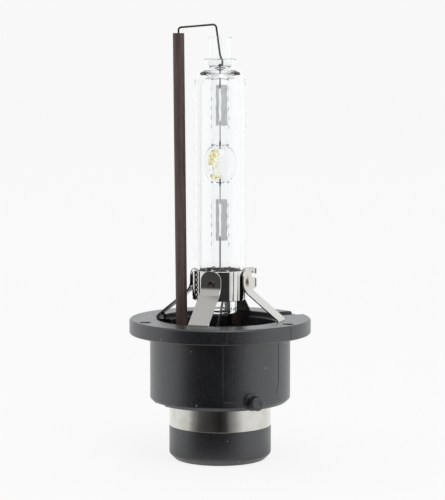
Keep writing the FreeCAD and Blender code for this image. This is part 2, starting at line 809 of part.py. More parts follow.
def make_ceramic_tube(doc):
    """Makes the ceramic tube that insulates the return wire, leaning out a little towards its top."""
    low = value(doc, "ceramic_bottom") + value(doc, "tube_radius") * tube_lean(doc)
    foot = FreeCAD.Vector(tube_axis_offset(doc, low), 0, low)
    high = value(doc, "ceramic_top")
    axis = FreeCAD.Vector(tube_axis_offset(doc, high), 0, high) - foot
    wall = Part.makeCylinder(value(doc, "tube_radius"), axis.Length, foot, axis)
    bore = Part.makeCylinder(value(doc, "tube_bore_radius"), axis.Length, foot, axis)
    tube = doc.addObject("Part::Feature", "ceramic_tube")
    tube.Label = "ceramic_tube"
    tube.Shape = wall.cut(bore)
    tube.Placement = FreeCAD.Placement(FreeCAD.Vector(0, 0, 0), turned(value(doc, "return_azimuth")))
    return tube


def make_return_wire(doc):
    """Bends the return wire: up from the ring's tongue through the ceramic tube and down into the arc tube."""
    low = value(doc, "ceramic_bottom")
    bend = value(doc, "ceramic_top + wire_rise")
    crown = value(doc, "ceramic_top + wire_rise + crown_rise")
    beside = value(doc, "lead_radius + wire_radius + fuse_gap")
    lift = value(doc, "wire_radius") * tube_lean(doc)
    path = bent_path([
        FreeCAD.Vector(tube_axis_offset(doc, low), 0, low + lift),
        FreeCAD.Vector(tube_axis_offset(doc, bend), 0, bend),
        FreeCAD.Vector(value(doc, "crown_offset"), 0, crown),
        FreeCAD.Vector(0, 0, value(doc, "lead_top + wire_lap * 3")),
        FreeCAD.Vector(-beside, 0, value(doc, "lead_top + wire_lap")),
        FreeCAD.Vector(-beside, 0, value(doc, "lead_top - wire_lap")),
    ], value(doc, "wire_bend"))
    wire = doc.addObject("Part::Feature", "return_wire")
    wire.Label = "return_wire"
    wire.Shape = swept_wire(path, value(doc, "wire_radius"))
    wire.Placement = FreeCAD.Placement(FreeCAD.Vector(0, 0, 0), turned(value(doc, "return_azimuth")))
    return wire


def make_lamp(doc):
    """Makes every sub-part of the lamp and returns them."""
    add_sheets(doc)
    pieces = [make_housing(doc), make_contact_ring(doc), make_centre_contact(doc), make_clamp_band(doc)]
    first = value(doc, "leg_azimuth")
    for number, name in enumerate(LEG_NAMES):
        pieces.append(make_leg(doc, name, first + 90 * number))
    pieces += [make_outer_bulb(doc), make_arc_tube(doc), make_ceramic_tube(doc), make_return_wire(doc)]
    pieces += make_sealed_pieces(doc)
    doc.recompute()
    return pieces


def check(doc, pieces):
    """Stops if any object of the document failed or any sub-part isn't a sound solid."""
    for item in doc.Objects:
        if "Invalid" in item.State or "Error" in item.State:
            raise RuntimeError(f"{item.Name} failed: {item.State}")
    for piece in pieces:
        shape = piece.Shape
        if shape.isNull() or not shape.isValid() or not shape.Solids:
            raise RuntimeError(f"{piece.Label} isn't a sound solid")


def main():
    """Builds the lamp and writes each sub-part to its own file."""
    doc = FreeCAD.newDocument("Lamp")
    pieces = make_lamp(doc)
    check(doc, pieces)
    os.makedirs("parts", exist_ok=True)
    for piece in pieces:
        piece.Shape.exportStep(f"parts/{piece.Label}.step")
        print(f"{piece.Label}: {len(piece.Shape.Solids)} solid, {piece.Shape.Volume:.3f} mm3")


main()
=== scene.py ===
"""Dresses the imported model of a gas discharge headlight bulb.

Z is the lamp's axis, z = 0 is the underside of the base's connector cup, and -Y is the front.
The classes hold their sizes in millimetres, and the meshes are made in metres.
"""

import logging
import math
from dataclasses import dataclass, field
from enum import Enum

import bmesh
import bpy
import numpy as np
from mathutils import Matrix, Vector


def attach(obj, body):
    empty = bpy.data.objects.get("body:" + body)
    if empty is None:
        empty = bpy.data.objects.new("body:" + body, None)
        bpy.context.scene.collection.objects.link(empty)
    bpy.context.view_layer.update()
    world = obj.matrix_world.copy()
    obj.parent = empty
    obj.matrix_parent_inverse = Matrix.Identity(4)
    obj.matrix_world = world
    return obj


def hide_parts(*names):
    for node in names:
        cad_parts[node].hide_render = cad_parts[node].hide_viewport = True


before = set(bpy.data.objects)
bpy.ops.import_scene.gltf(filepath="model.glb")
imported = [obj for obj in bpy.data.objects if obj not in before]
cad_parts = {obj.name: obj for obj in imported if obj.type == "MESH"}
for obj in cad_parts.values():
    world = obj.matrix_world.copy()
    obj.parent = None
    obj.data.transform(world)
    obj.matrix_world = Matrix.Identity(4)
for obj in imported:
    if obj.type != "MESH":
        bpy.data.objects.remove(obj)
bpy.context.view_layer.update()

log = logging.getLogger("headlight_bulb")
MM = 0.001
BODY = "root"
FLANGE_TOP = 24.8
LIGHT_CENTRE = 51.9
FRONT_LEG_AZIMUTH = 251.0
RETURN_AZIMUTH = 187.5
LEAD_TOP = 69.2
NOISE = "ShaderNodeTexNoise"
MATH = "ShaderNodeMath"
TIMES = {"operation": "MULTIPLY"}
TIMES_PLUS = {"operation": "MULTIPLY_ADD"}
IS_ABOVE = {"operation": "GREATER_THAN"}
IN_COLOUR = {"data_type": "RGBA"}


# colour and nodes

def linear(hex_colour: str) -> tuple[float, float, float, float]:
    """Turns an sRGB hex colour into the linear one that the shaders take.

    Args:
        hex_colour: The colour as "#RRGGBB".

    Returns:
        Red, green, blue and an alpha of 1.
    """
    shares = [int(hex_colour[i:i + 2], 16) / 255 for i in (1, 3, 5)]
    return tuple(s / 12.92 if s <= 0.04045 else ((s + 0.055) / 1.055) ** 2.4 for s in shares) + (1.0,)


def add_node(tree: bpy.types.NodeTree, kind: str, settings: dict | None = None, inputs: dict | tuple = (),
             stops: list | tuple = ()) -> bpy.types.Node:
    """Adds a node with its settings, its values, its links and its colour stops.

    Args:
        tree: The node tree that takes the node.
        kind: Blender's name for the node's type.
        settings: Attributes of the node.
        inputs: What its sockets take, by name or in their order: a value, or the output socket that feeds it.
        stops: A colour ramp's places from 0 to 1, each with a linear colour.

    Returns:
        The new node.
    """
    node = tree.nodes.new(kind)
    for name, setting in (settings or {}).items():
        setattr(node, name, setting)
    for name, given in (inputs.items() if isinstance(inputs, dict) else enumerate(inputs)):
        if isinstance(given, bpy.types.NodeSocket):
            tree.links.new(given, node.inputs[name])
        else:
            node.inputs[name].default_value = given
    band = node.color_ramp.elements if stops else []
    while len(band) < len(stops):
        band.new(1.0)
    for stop, (place, colour) in zip(band, stops):
        stop.position = place
        stop.color = colour
    return node


def grey(level: float) -> tuple[float, float, float, float]:
    """Returns a linear grey of that level."""
    return (level, level, level, 1.0)


# finishes

@dataclass(frozen=True)
class MouldedPlastic:
    """Glass-filled PPS, injection moulded: near black and matte, with a smoother skin on the flange.

    Its refraction is set above the resin's own, for the pale sheen that the glass fibres give its skin.
    """

    name: str = "black_moulded_pps"
    colour: str = "#0A0C10"
    worn_colour: str = "#1E2127"
    dust_colour: str = "#B9B9B5"
    refraction: float = 1.9
    roughness: float = 0.28
    flow_spread: float = 0.12
    grain_spread: float = 0.1
    top_share: float = 0.95
    top_low: float = 24.6
    top_upright: float = 0.9
    flow: float = 5.0
    grain: float = 0.34
    grain_share: float = 0.65
    grain_depth: float = 0.05
    dust_spacing: float = 2.0
    dust_size: float = 0.045

    def build(self) -> bpy.types.Material:
        """Builds the material: grain and flow marks in its colour and skin, and scattered dust specks.

        Returns:
            The material.
        """
        material, tree, shader, spot = start_material(self.name)
        flow = add_node(tree, NOISE, inputs={
            "Vector": spot, "Scale": 1 / (self.flow * MM), "Detail": 4.0, "Roughness": 0.6}).outputs["Fac"]
        grain = add_node(tree, NOISE, inputs={
            "Vector": spot, "Scale": 1 / (self.grain * MM), "Detail": 2.0}).outputs["Fac"]
        marks = add_node(tree, MATH, TIMES, (flow, 1 - self.grain_share)).outputs[0]
        speckle = add_node(tree, MATH, TIMES_PLUS, (grain, self.grain_share, marks)).outputs[0]
        plain = add_node(tree, "ShaderNodeValToRGB", None, (speckle,), [
            (0.38, linear(self.colour)), (0.62, linear(self.worn_colour))]).outputs[0]
        colour = add_node(tree, "ShaderNodeMix", IN_COLOUR, {
            "Factor": dust_specks(tree, spot, self.dust_spacing, self.dust_size), "A": plain,
            "B": linear(self.dust_colour)}).outputs["Result"]
        tree.links.new(colour, shader.inputs["Base Color"])
        skin = add_node(tree, MATH, TIMES_PLUS, (
            flow, self.flow_spread, self.roughness - self.flow_spread / 2)).outputs[0]
        skin = add_node(tree, MATH, TIMES_PLUS, (grain, self.grain_spread, skin)).outputs[0]
        rough = add_node(tree, MATH, TIMES, (skin, self.smoothed_top(tree, spot))).outputs[0]
        tree.links.new(rough, shader.inputs["Roughness"])
        shader.inputs["IOR"].default_value = self.refraction
        relief = add_node(tree, "ShaderNodeBump", inputs={
            "Strength": 0.5, "Distance": self.grain_depth * MM, "Height": grain})
        tree.links.new(relief.outputs[0], shader.inputs["Normal"])
        return material

    def smoothed_top(self, tree: bpy.types.NodeTree, spot: bpy.types.NodeSocket) -> bpy.types.NodeSocket:
        """Returns the roughness's factor: smaller on faces that look up and lie as high as the flange's top.

        Args:
            tree: The node tree that takes the nodes.
            spot: The socket with the object coordinates.

        Returns:
            The socket with the factor.
        """
        facing = add_node(tree, "ShaderNodeNewGeometry").outputs["True Normal"]
        tilt = add_node(tree, "ShaderNodeSeparateXYZ", None, (facing,)).outputs[2]
        height = add_node(tree, "ShaderNodeSeparateXYZ", None, (spot,)).outputs[2]
        upward = add_node(tree, MATH, IS_ABOVE, (tilt, self.top_upright)).outputs[0]
        high = add_node(tree, MATH, IS_ABOVE, (height, self.top_low * MM)).outputs[0]
        both = add_node(tree, MATH, TIMES, (upward, high)).outputs[0]
        return add_node(tree, MATH, TIMES_PLUS, (both, self.top_share - 1, 1.0)).outputs[0]


@dataclass(frozen=True)
class RolledMetal:
    """Thin metal strip, sheet or wire: fine lines along the way it was rolled or turned, and a soft mirror.

    The gleam is a faint light of its own, for foil behind two glasses, where few of the studio's rays arrive.
    """

    name: str
    colour: str
    roughness: float
    line: tuple[float, float, float]
    line_depth: float = 0.004
    spread: float = 0.1
    tarnish: str | None = None
    tarnish_size: float = 2.2
    metallic: float = 1.0
    gleam: float = 0.0

    def build(self) -> bpy.types.Material:
        """Builds the material: stretched noise gives the lines, slow noise the tarnish.

        Returns:
            The material.
        """
        material, tree, shader, spot = start_material(self.name)
        lines = add_node(tree, "ShaderNodeMapping", inputs={
            "Vector": spot, "Scale": tuple(1 / (v * MM) for v in self.line)}).outputs[0]
        line = add_node(tree, NOISE, inputs={
            "Vector": lines, "Scale": 1.0, "Detail": 3.0, "Roughness": 0.7}).outputs["Fac"]
        cloud = add_node(tree, NOISE, inputs={
            "Vector": spot, "Scale": 1 / (self.tarnish_size * MM), "Detail": 5.0}).outputs["Fac"]
        clean = linear(self.colour)
        dull = linear(self.tarnish) if self.tarnish else tuple(v * 0.86 for v in clean[:3]) + (1.0,)
        colour = add_node(tree, "ShaderNodeValToRGB", None, (cloud,), [
            (0.42, clean), (0.72, dull)]).outputs[0]
        tree.links.new(colour, shader.inputs["Base Color"])
        shader.inputs["Metallic"].default_value = self.metallic
        shader.inputs["Emission Color"].default_value = clean
        shader.inputs["Emission Strength"].default_value = self.gleam
        rough = add_node(tree, MATH, TIMES_PLUS, (
            line, self.spread, self.roughness - self.spread / 2)).outputs[0]
        tree.links.new(rough, shader.inputs["Roughness"])
        relief = add_node(tree, "ShaderNodeBump", inputs={
            "Strength": 0.3, "Distance": self.line_depth * MM, "Height": line})
        tree.links.new(relief.outputs[0], shader.inputs["Normal"])
        return material


@dataclass(frozen=True)
class TintedStrip:
    """Rolled stainless strip with the straw and brown heat tint that a spot weld leaves round itself.

    The piece's UV map gives the place along and across the strip in millimetres, from its top end, so the
    lines and the clouds are numbers per millimetre.
    """

    name: str
    colour: str = "#CBC9C5"
    cloud_colour: str = "#C8C6C2"
    lines: tuple[float, float, float] = (0.6, 14.0, 1.0)
    clouds: float = 1.1
    line_depth: float = 0.006
    burn: str = "#4A3222"
    tint: str = "#9A7B4C"
    straw: str = "#C9B48A"
    weld_along: float = 2.1
    tint_reach: float = 0.0
    tint_ragged: float = 1.2
    roughness: float = 0.12
    spread: float = 0.1

    def build(self) -> bpy.types.Material:
        """Builds the material: rolling lines along the strip, and rings of tint round the weld.

        Returns:
            The material.
        """
        material, tree, shader, _ = start_material(self.name)
        spot = add_node(tree, "ShaderNodeUVMap", {"uv_map": "Strip"}).outputs[0]
        lines = add_node(tree, "ShaderNodeMapping", inputs={
            "Vector": spot, "Scale": self.lines}).outputs[0]
        line = add_node(tree, NOISE, inputs={
            "Vector": lines, "Scale": 1.0, "Detail": 4.0, "Roughness": 0.75}).outputs["Fac"]
        cloud = add_node(tree, NOISE, inputs={
            "Vector": spot, "Scale": self.clouds, "Detail": 4.0}).outputs["Fac"]
        plain = add_node(tree, "ShaderNodeValToRGB", None, (cloud,), [
            (0.4, linear(self.colour)), (0.75, linear(self.cloud_colour))]).outputs[0]
        if self.tint_reach:
            away = add_node(tree, "ShaderNodeVectorMath", {"operation": "DISTANCE"}, (
                spot, (self.weld_along, 0.0, 0.0))).outputs["Value"]
            ragged = add_node(tree, MATH, {"operation": "SUBTRACT"}, (away, self.tint_ragged / 2)).outputs[0]
            ragged = add_node(tree, MATH, TIMES_PLUS, (cloud, self.tint_ragged, ragged)).outputs[0]
            share = add_node(tree, MATH, {"operation": "DIVIDE"}, (ragged, self.tint_reach)).outputs[0]
            ring = add_node(tree, "ShaderNodeValToRGB", None, (share,), [
                (0.0, grey(1.0)), (0.45, grey(0.75)), (1.0, grey(0.0))]).outputs[0]
            tint = add_node(tree, "ShaderNodeValToRGB", None, (share,), [
                (0.15, linear(self.burn)), (0.5, linear(self.tint)), (0.9, linear(self.straw))]).outputs[0]
            plain = add_node(tree, "ShaderNodeMix", IN_COLOUR, {
                "Factor": ring, "A": plain, "B": tint}).outputs["Result"]
        tree.links.new(plain, shader.inputs["Base Color"])
        shader.inputs["Metallic"].default_value = 1.0
        rough = add_node(tree, MATH, TIMES_PLUS, (
            line, self.spread, self.roughness - self.spread / 2)).outputs[0]
        tree.links.new(rough, shader.inputs["Roughness"])
        relief = add_node(tree, "ShaderNodeBump", inputs={
            "Strength": 0.25, "Distance": self.line_depth * MM, "Height": line})
        tree.links.new(relief.outputs[0], shader.inputs["Normal"])
        return material


@dataclass(frozen=True)
class FusedSilica:
    """Clear fused silica, drawn and flame worked: colourless, without a skin, bending light at 1.458. A grey
    colour given in place of its near white is painted shade, as on the pinch edges.
    """

    name: str
    roughness: float = 0.0
    colour: str = "#FDFEFE"
    refraction: float = 1.458
    ripple: tuple[float, float, float] = (1.6, 1.6, 5.0)
    ripple_depth: float = 0.02

    def build(self) -> bpy.types.Material:
        """Builds the material: a pure dielectric, with the slow ripple that drawing leaves in the glass.

        Returns:
            The material.
        """
        material, tree, shader, spot = start_material(self.name)
        shader.inputs["Base Color"].default_value = linear(self.colour)
        shader.inputs["Transmission Weight"].default_value = 1.0
        shader.inputs["IOR"].default_value = self.refraction
        shader.inputs["Roughness"].default_value = self.roughness
        ripple = add_node(tree, "ShaderNodeMapping", inputs={
            "Vector": spot, "Scale": tuple(1 / (v * MM) for v in self.ripple)}).outputs[0]
        wave = add_node(tree, NOISE, inputs={"Vector": ripple, "Scale": 1.0, "Detail": 1.0}).outputs["Fac"]
        relief = add_node(tree, "ShaderNodeBump", inputs={
            "Strength": 0.2, "Distance": self.ripple_depth * MM, "Height": wave})
        tree.links.new(relief.outputs[0], shader.inputs["Normal"])
        return material


@dataclass(frozen=True)
class FiredCeramic:
    """Brown glazed steatite tube, extruded and fired: faint lengthwise drag lines and a dull sheen."""

    name: str = "brown_fired_ceramic"
    colour: str = "#4A3B34"
    pale_colour: str = "#62524A"
    dust_colour: str = "#C8C2BA"
    roughness: float = 0.58
    spread: float = 0.2
    drag: tuple[float, float, float] = (0.25, 0.25, 6.0)
    drag_depth: float = 0.015
    pit: float = 0.3
    dust_spacing: float = 3.1
    dust_size: float = 0.05

    def build(self) -> bpy.types.Material:
        """Builds the material: drag lines stretched along Z, with small pits and specks.

        Returns:
            The material.
        """
        material, tree, shader, spot = start_material(self.name)
        drag = add_node(tree, "ShaderNodeMapping", inputs={
            "Vector": spot, "Scale": tuple(1 / (v * MM) for v in self.drag)}).outputs[0]
        line = add_node(tree, NOISE, inputs={"Vector": drag, "Scale": 1.0, "Detail": 4.0}).outputs["Fac"]
        pit = add_node(tree, NOISE, inputs={
            "Vector": spot, "Scale": 1 / (self.pit * MM), "Detail": 2.0}).outputs["Fac"]
        plain = add_node(tree, "ShaderNodeValToRGB", None, (line,), [
            (0.35, linear(self.colour)), (0.7, linear(self.pale_colour))]).outputs[0]
        colour = add_node(tree, "ShaderNodeMix", IN_COLOUR, {
            "Factor": dust_specks(tree, spot, self.dust_spacing, self.dust_size), "A": plain,
            "B": linear(self.dust_colour)}).outputs["Result"]
        tree.links.new(colour, shader.inputs["Base Color"])
        rough = add_node(tree, MATH, TIMES_PLUS, (
            pit, self.spread, self.roughness - self.spread / 2)).outputs[0]
        tree.links.new(rough, shader.inputs["Roughness"])
        relief = add_node(tree, "ShaderNodeBump", inputs={
            "Strength": 0.3, "Distance": self.drag_depth * MM, "Height": line})
        tree.links.new(relief.outputs[0], shader.inputs["Normal"])
        return material


@dataclass(frozen=True)
class MeltedSalt:
    """Metal halide salts, melted and frozen on the glass: a waxy yellow-green crust with paler crystals.

    The gleam is a faint light of its own, since few of the studio's rays arrive behind two glasses.
    """

    name: str = "halide_salt_crust"
    colour: str = "#F6F1CF"
    pale_colour: str = "#FFFEF6"
    dark_colour: str = "#C4B45C"
    roughness: float = 0.6
    gleam: float = 0.55
    see_through: float = 0.25
    crystal: float = 0.22
    crystal_depth: float = 0.05
    patch: float = 0.5

    def build(self) -> bpy.types.Material:
        """Builds the material: crystal cells in three tones and a rough waxy skin.

        Returns:
            The material.
        """
        material, tree, shader, spot = start_material(self.name)
        cells = add_node(tree, "ShaderNodeTexVoronoi", inputs={
            "Vector": spot, "Scale": 1 / (self.crystal * MM)})
        cloud = add_node(tree, NOISE, inputs={
            "Vector": spot, "Scale": 1 / (self.patch * MM), "Detail": 4.0}).outputs["Fac"]
        colour = add_node(tree, "ShaderNodeValToRGB", None, (cloud,), [
            (0.32, linear(self.dark_colour)), (0.5, linear(self.colour)),
            (0.68, linear(self.pale_colour))]).outputs[0]
        for socket in ("Base Color", "Emission Color"):
            tree.links.new(colour, shader.inputs[socket])
        shader.inputs["Roughness"].default_value = self.roughness
        shader.inputs["Emission Strength"].default_value = self.gleam
        relief = add_node(tree, "ShaderNodeBump", inputs={
            "Strength": 0.5, "Distance": self.crystal_depth * MM, "Height": cells.outputs["Distance"]})
        tree.links.new(relief.outputs[0], shader.inputs["Normal"])
        through = add_node(tree, "ShaderNodeBsdfTranslucent", inputs={"Color": colour})
        mixed = add_node(tree, "ShaderNodeMixShader", None, (
            self.see_through, shader.outputs[0], through.outputs[0]))
        tree.links.new(mixed.outputs[0], tree.nodes["Material Output"].inputs["Surface"])
        return material


def start_material(name: str) -> tuple:
    """Starts a node material.

    Args:
        name: The material's name.

    Returns:
        The material, its node tree, its surface shader and the socket with the object coordinates.
    """
    material = bpy.data.materials.new(name)
    material.use_nodes = True
    tree = material.node_tree
    shader = tree.nodes["Principled BSDF"]
    return material, tree, shader, add_node(tree, "ShaderNodeTexCoord").outputs["Object"]


def dust_specks(tree: bpy.types.NodeTree, spot: bpy.types.NodeSocket, spacing: float,
                size: float) -> bpy.types.NodeSocket:
    """Returns a mask of small specks: the middles of some cells of a Voronoi pattern.

    Args:
        tree: The node tree that takes the pattern.
        spot: The socket with the coordinates.
        spacing: The cells' size in millimetres.
        size: The specks' radius as a share of a cell.

    Returns:
        The socket with the mask, 1 on a speck.
    """
    cells = add_node(tree, "ShaderNodeTexVoronoi", inputs={"Vector": spot, "Scale": 1 / (spacing * MM)})
    near = add_node(tree, MATH, {"operation": "LESS_THAN"}, (cells.outputs["Distance"], size)).outputs[0]
    draw = add_node(tree, "ShaderNodeSeparateColor", None, (cells.outputs["Color"],)).outputs[0]
    chosen = add_node(tree, MATH, IS_ABOVE, (draw, 0.45)).outputs[0]
    return add_node(tree, MATH, TIMES, (near, chosen)).outputs[0]


class Finish(Enum):
    """The finishes of the lamp's pieces, each with the record's slot that it stands for."""

    PLASTIC = (MouldedPlastic(), "black_plastic")
    RING = (RolledMetal("turned_nickel_plate", "#D9D7D2", 0.12, (6.0, 6.0, 0.09), 0.004, 0.06, "#CBC6BE"),
            "ring_metal")
    CONTACT = (RolledMetal("bright_turned_brass", "#CFCBC2", 0.22, (1.0, 1.0, 0.08)), "contact_metal")
    BAND = (RolledMetal("bright_annealed_strip", "#E4E3E0", 0.08, (3.0, 3.0, 0.12), 0.002, 0.05),
            "band_steel")
    STRIP = (TintedStrip("rolled_stainless_strip"), "leg_steel")
    TINTED = (TintedStrip("rolled_stainless_strip_heat_tinted", tint_reach=1.5), "leg_steel")
    BULB_GLASS = (FusedSilica("clear_drawn_silica"), "bulb_glass")
    TUBE_GLASS = (FusedSilica("clear_pinched_silica"), "quartz_glass")
    # The pinch edges' glass is tinted grey: painted shade for the dark lines along the pinch's folds. Its
    # roughness gives a haze.
    PINCH_EDGE = (FusedSilica("hazed_pinch_edge_painted_shade", roughness=0.35, colour="#7E8488"), "quartz_glass")
    TUNGSTEN = (RolledMetal("drawn_tungsten", "#6A6A6C", 0.4, (0.05, 0.05, 1.0)), "tungsten")
    FOIL = (RolledMetal("etched_molybdenum_foil", "#F6F8F8", 0.5, (0.12, 0.12, 2.0), 0.01, 0.2, "#E6E9EA",
                        metallic=0.1, gleam=0.12), "foil_metal")
    LEAD = (RolledMetal("drawn_molybdenum_wire", "#8B8A8D", 0.35, (0.06, 0.06, 2.0)), "lead_metal")
    WIRE = (RolledMetal("oxidised_nickel_wire", "#5C5450", 0.4, (0.06, 0.06, 2.0), 0.01, 0.2, "#3E3734"),
            "wire_metal")
    WELD = (WIRE[0], "leg_steel")
    CERAMIC = (FiredCeramic(), "brown_ceramic")
    SALT = (MeltedSalt(), "salts")

    def material(self) -> bpy.types.Material:
        """Returns the finish's material, which is built on first use."""
        return bpy.data.materials.get(self.value[0].name) or self.value[0].build()


# surfaces

class Closing(Enum):
    """How a grid of points closes: whether its last row joins the first, and whether its last column does."""

    RING = (True, True)
    BALL = (True, False)
    TUBE = (False, True)


def grid_faces(points: np.ndarray, closing: Closing) -> tuple[np.ndarray, np.ndarray]:
    """Joins a grid of points into faces: one for each cell of the grid, turned by row x column.

    Args:
        points: Rows by columns by three.
        closing: How the grid closes.

    Returns:
        The points as a list, and the faces as numbers of points.
    """
    rows, columns = points.shape[:2]
    loop_rows, loop_columns = closing.value
    row = np.arange(rows if loop_rows else rows - 1)[:, None]
    column = np.arange(columns if loop_columns else columns - 1)[None, :]
    next_row = (row + 1) % rows
    next_column = (column + 1) % columns
    faces = np.stack([row * columns + column, next_row * columns + column,
                      next_row * columns + next_column, row * columns + next_column], axis=-1).reshape(-1, 4)
    return points.reshape(-1, 3), faces


def add_mesh(name: str, points: np.ndarray, faces: np.ndarray | list) -> bpy.types.Mesh:
    """Makes a mesh in metres from points in millimetres, with its seams and poles closed.

    Args:
        name: The mesh's name.
        points: Its points.
        faces: Its faces, as numbers of points.

    Returns:
        The mesh.
    """
    mesh = bpy.data.meshes.new(name)
    mesh.from_pydata((points * MM).tolist(), [], faces.tolist() if isinstance(faces, np.ndarray) else faces)
    return merge(mesh)


def merge(mesh: bpy.types.Mesh) -> bpy.types.Mesh:
    """Merges a mesh's doubled points, which closes seams and poles.

    Args:
        mesh: The mesh, which is changed.

    Returns:
        The same mesh.
    """
    shape = bmesh.new()
    shape.from_mesh(mesh)
    bmesh.ops.remove_doubles(shape, verts=shape.verts, dist=0.0005 * MM)
    shape.to_mesh(mesh)
    shape.free()
    return mesh


def carved(mesh: bpy.types.Mesh, cutters: list[tuple]) -> bpy.types.Mesh:
    """Cuts closed shapes out of a closed mesh.

    Args:
        mesh: The mesh to cut.
        cutters: The points and faces of each shape; none may touch another.

    Returns:
        The cut mesh.
    """
    counts = np.cumsum([0] + [len(points) for points, _ in cutters])
    faces = [[number + start for number in face] for start, (_, shape) in zip(counts, cutters)
             for face in (shape.tolist() if isinstance(shape, np.ndarray) else shape)]
    shapes = add_mesh("cutter", np.vstack([points for points, _ in cutters]), faces)
    tool = bpy.data.objects.new("cutter", shapes)
    blank = bpy.data.objects.new("blank", mesh)
    for item in (tool, blank):
        bpy.context.scene.collection.objects.link(item)
    cut = blank.modifiers.new("cut", "BOOLEAN")
    cut.operation = "DIFFERENCE"
    cut.solver = "EXACT"
    cut.object = tool
    result = bpy.data.meshes.new_from_object(blank.evaluated_get(bpy.context.evaluated_depsgraph_get()))
    for item in (tool, blank):
        bpy.data.objects.remove(item)
    return result


def add_surface(name: str, points: np.ndarray, closing: Closing, finish: Finish, *nodes: str,
                strip_map: np.ndarray | None = None, sharp: float = 35.0) -> None:
    """Makes a piece from a grid of points.

    Args:
        name: The piece's name.
        points: Rows by columns by three, in millimetres.
        closing: How the grid closes.
        finish: The piece's finish.
        nodes: The CAD nodes that the piece stands for.
        strip_map: A place on the strip for each point, for the UV map "Strip".
        sharp: The angle in degrees above which an edge is shaded sharp.
    """
    flat, faces = grid_faces(points, closing)
    mesh = bpy.data.meshes.new(name)
    mesh.from_pydata((flat * MM).tolist(), [], faces.tolist())
    if strip_map is not None:
        corners = np.zeros(len(mesh.loops), dtype=np.int32)
        mesh.loops.foreach_get("vertex_index", corners)
        layer = mesh.uv_layers.new(name="Strip")
        layer.data.foreach_set("uv", strip_map.reshape(-1, 2)[corners].astype(np.float32).ravel())
    dress(name, merge(mesh), finish, *nodes, sharp=sharp)


def dress(name: str, mesh: bpy.types.Mesh, finish: Finish, *nodes: str, sharp: float = 35.0) -> None:
    """Shades a mesh, makes it a piece that rides on the lamp, and hides the CAD nodes that it stands for.

    Args:
        name: The piece's name.
        mesh: Its mesh.
        finish: Its finish.
        nodes: The CAD nodes that the piece stands for.
        sharp: The angle in degrees above which an edge is shaded sharp.
    """
    mesh.shade_smooth()
    mesh.set_sharp_from_angle(angle=math.radians(sharp))
    mesh.materials.clear()
    mesh.materials.append(finish.material())
    piece = bpy.data.objects.new(name, mesh)
    bpy.context.scene.collection.objects.link(piece)
    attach(piece, BODY)
    if nodes:
        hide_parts(*nodes)


def revolved(profile: np.ndarray, segments: int = 128, start: float = 0.0, span: float = 360.0) -> np.ndarray:
    """Turns a profile about the lamp's axis: point (r, z) goes to (r cos a, r sin a, z) for each angle a.

    Args:
        profile: Radii and heights, with the material on the left of its way round.
        segments: The number of steps of the angle.
        start: The first angle, in degrees.
        span: The whole angle, in degrees.

    Returns:
        Angles by profile points by three. A full turn leaves out its last angle.
    """
    whole = span >= 360.0
    angle = np.radians(start + span * np.arange(segments if whole else segments + 1) / segments)[:, None]
    radius, height = profile[None, :, 0], profile[None, :, 1]
    return np.stack([radius * np.cos(angle), radius * np.sin(angle), height + 0 * angle], axis=-1)


def rounded(corners: list[tuple[float, float, float]], closed: bool = False, steps: int = 6) -> np.ndarray:
    """Rounds the corners of an outline: each corner gets an arc of its own radius, tangent to both its sides.

    A point just before and just after each arc keeps the shading of the straight sides flat.

    Args:
        corners: Two coordinates and a radius for each corner, 0 for a sharp one.
        closed: Whether the outline runs back to its start.
        steps: The number of steps on each arc.

    Returns:
        The outline's points.
    """
    spots = np.array([c[:2] for c in corners], float)
    found = []
    for i, (spot, radius) in enumerate(zip(spots, [c[2] for c in corners])):
        ends = not closed and i in (0, len(spots) - 1)
        if radius <= 0 or ends:
            found.append(spot)
            continue
        back = spots[i - 1] - spot
        ahead = spots[(i + 1) % len(spots)] - spot
        back_length, ahead_length = np.linalg.norm(back), np.linalg.norm(ahead)
        back, ahead = back / back_length, ahead / ahead_length
        half = math.acos(np.clip(back @ ahead, -1, 1)) / 2
        reach = min(radius / math.tan(half), 0.49 * back_length, 0.49 * ahead_length)
        radius = reach * math.tan(half)
        middle = spot + (back + ahead) / np.linalg.norm(back + ahead) * radius / math.sin(half)
        first = spot + back * reach - middle
        last = spot + ahead * reach - middle
        sweep = math.atan2(first[0] * last[1] - first[1] * last[0], first @ last)
        turn = sweep * np.arange(steps + 1) / steps
        spare_back, spare_ahead = (
            min(0.1, 0.3 * (0.5 * side - reach)) for side in (back_length, ahead_length))
        found.append(spot + back * (reach + spare_back))
        found += [middle + np.array([first[0] * np.cos(t) - first[1] * np.sin(t),
                                     first[0] * np.sin(t) + first[1] * np.cos(t)]) for t in turn]
        found.append(spot + ahead * (reach + spare_ahead))
    return np.array(found)


def resampled(outline: np.ndarray, step: float) -> np.ndarray:
    """Adds points on an outline's longer sides, so that none is longer than a step."""
    pieces = [np.linspace(a, b, max(1, math.ceil(np.linalg.norm(b - a) / step)), endpoint=False)
              for a, b in zip(outline, outline[1:])]
    return np.vstack(pieces + [outline[-1:]])


def resampled_closed(outline: np.ndarray, step: float) -> np.ndarray:
    """Adds points on the longer sides of a closed outline."""
    return resampled(np.vstack([outline, outline[:1]]), step)[:-1]


def turned(points: np.ndarray, azimuth: float) -> np.ndarray:
    """Turns points about the lamp's axis, by an angle in degrees."""
    c, s = math.cos(math.radians(azimuth)), math.sin(math.radians(azimuth))
    return points @ np.array([[c, s, 0.0], [-s, c, 0.0], [0.0, 0.0, 1.0]])


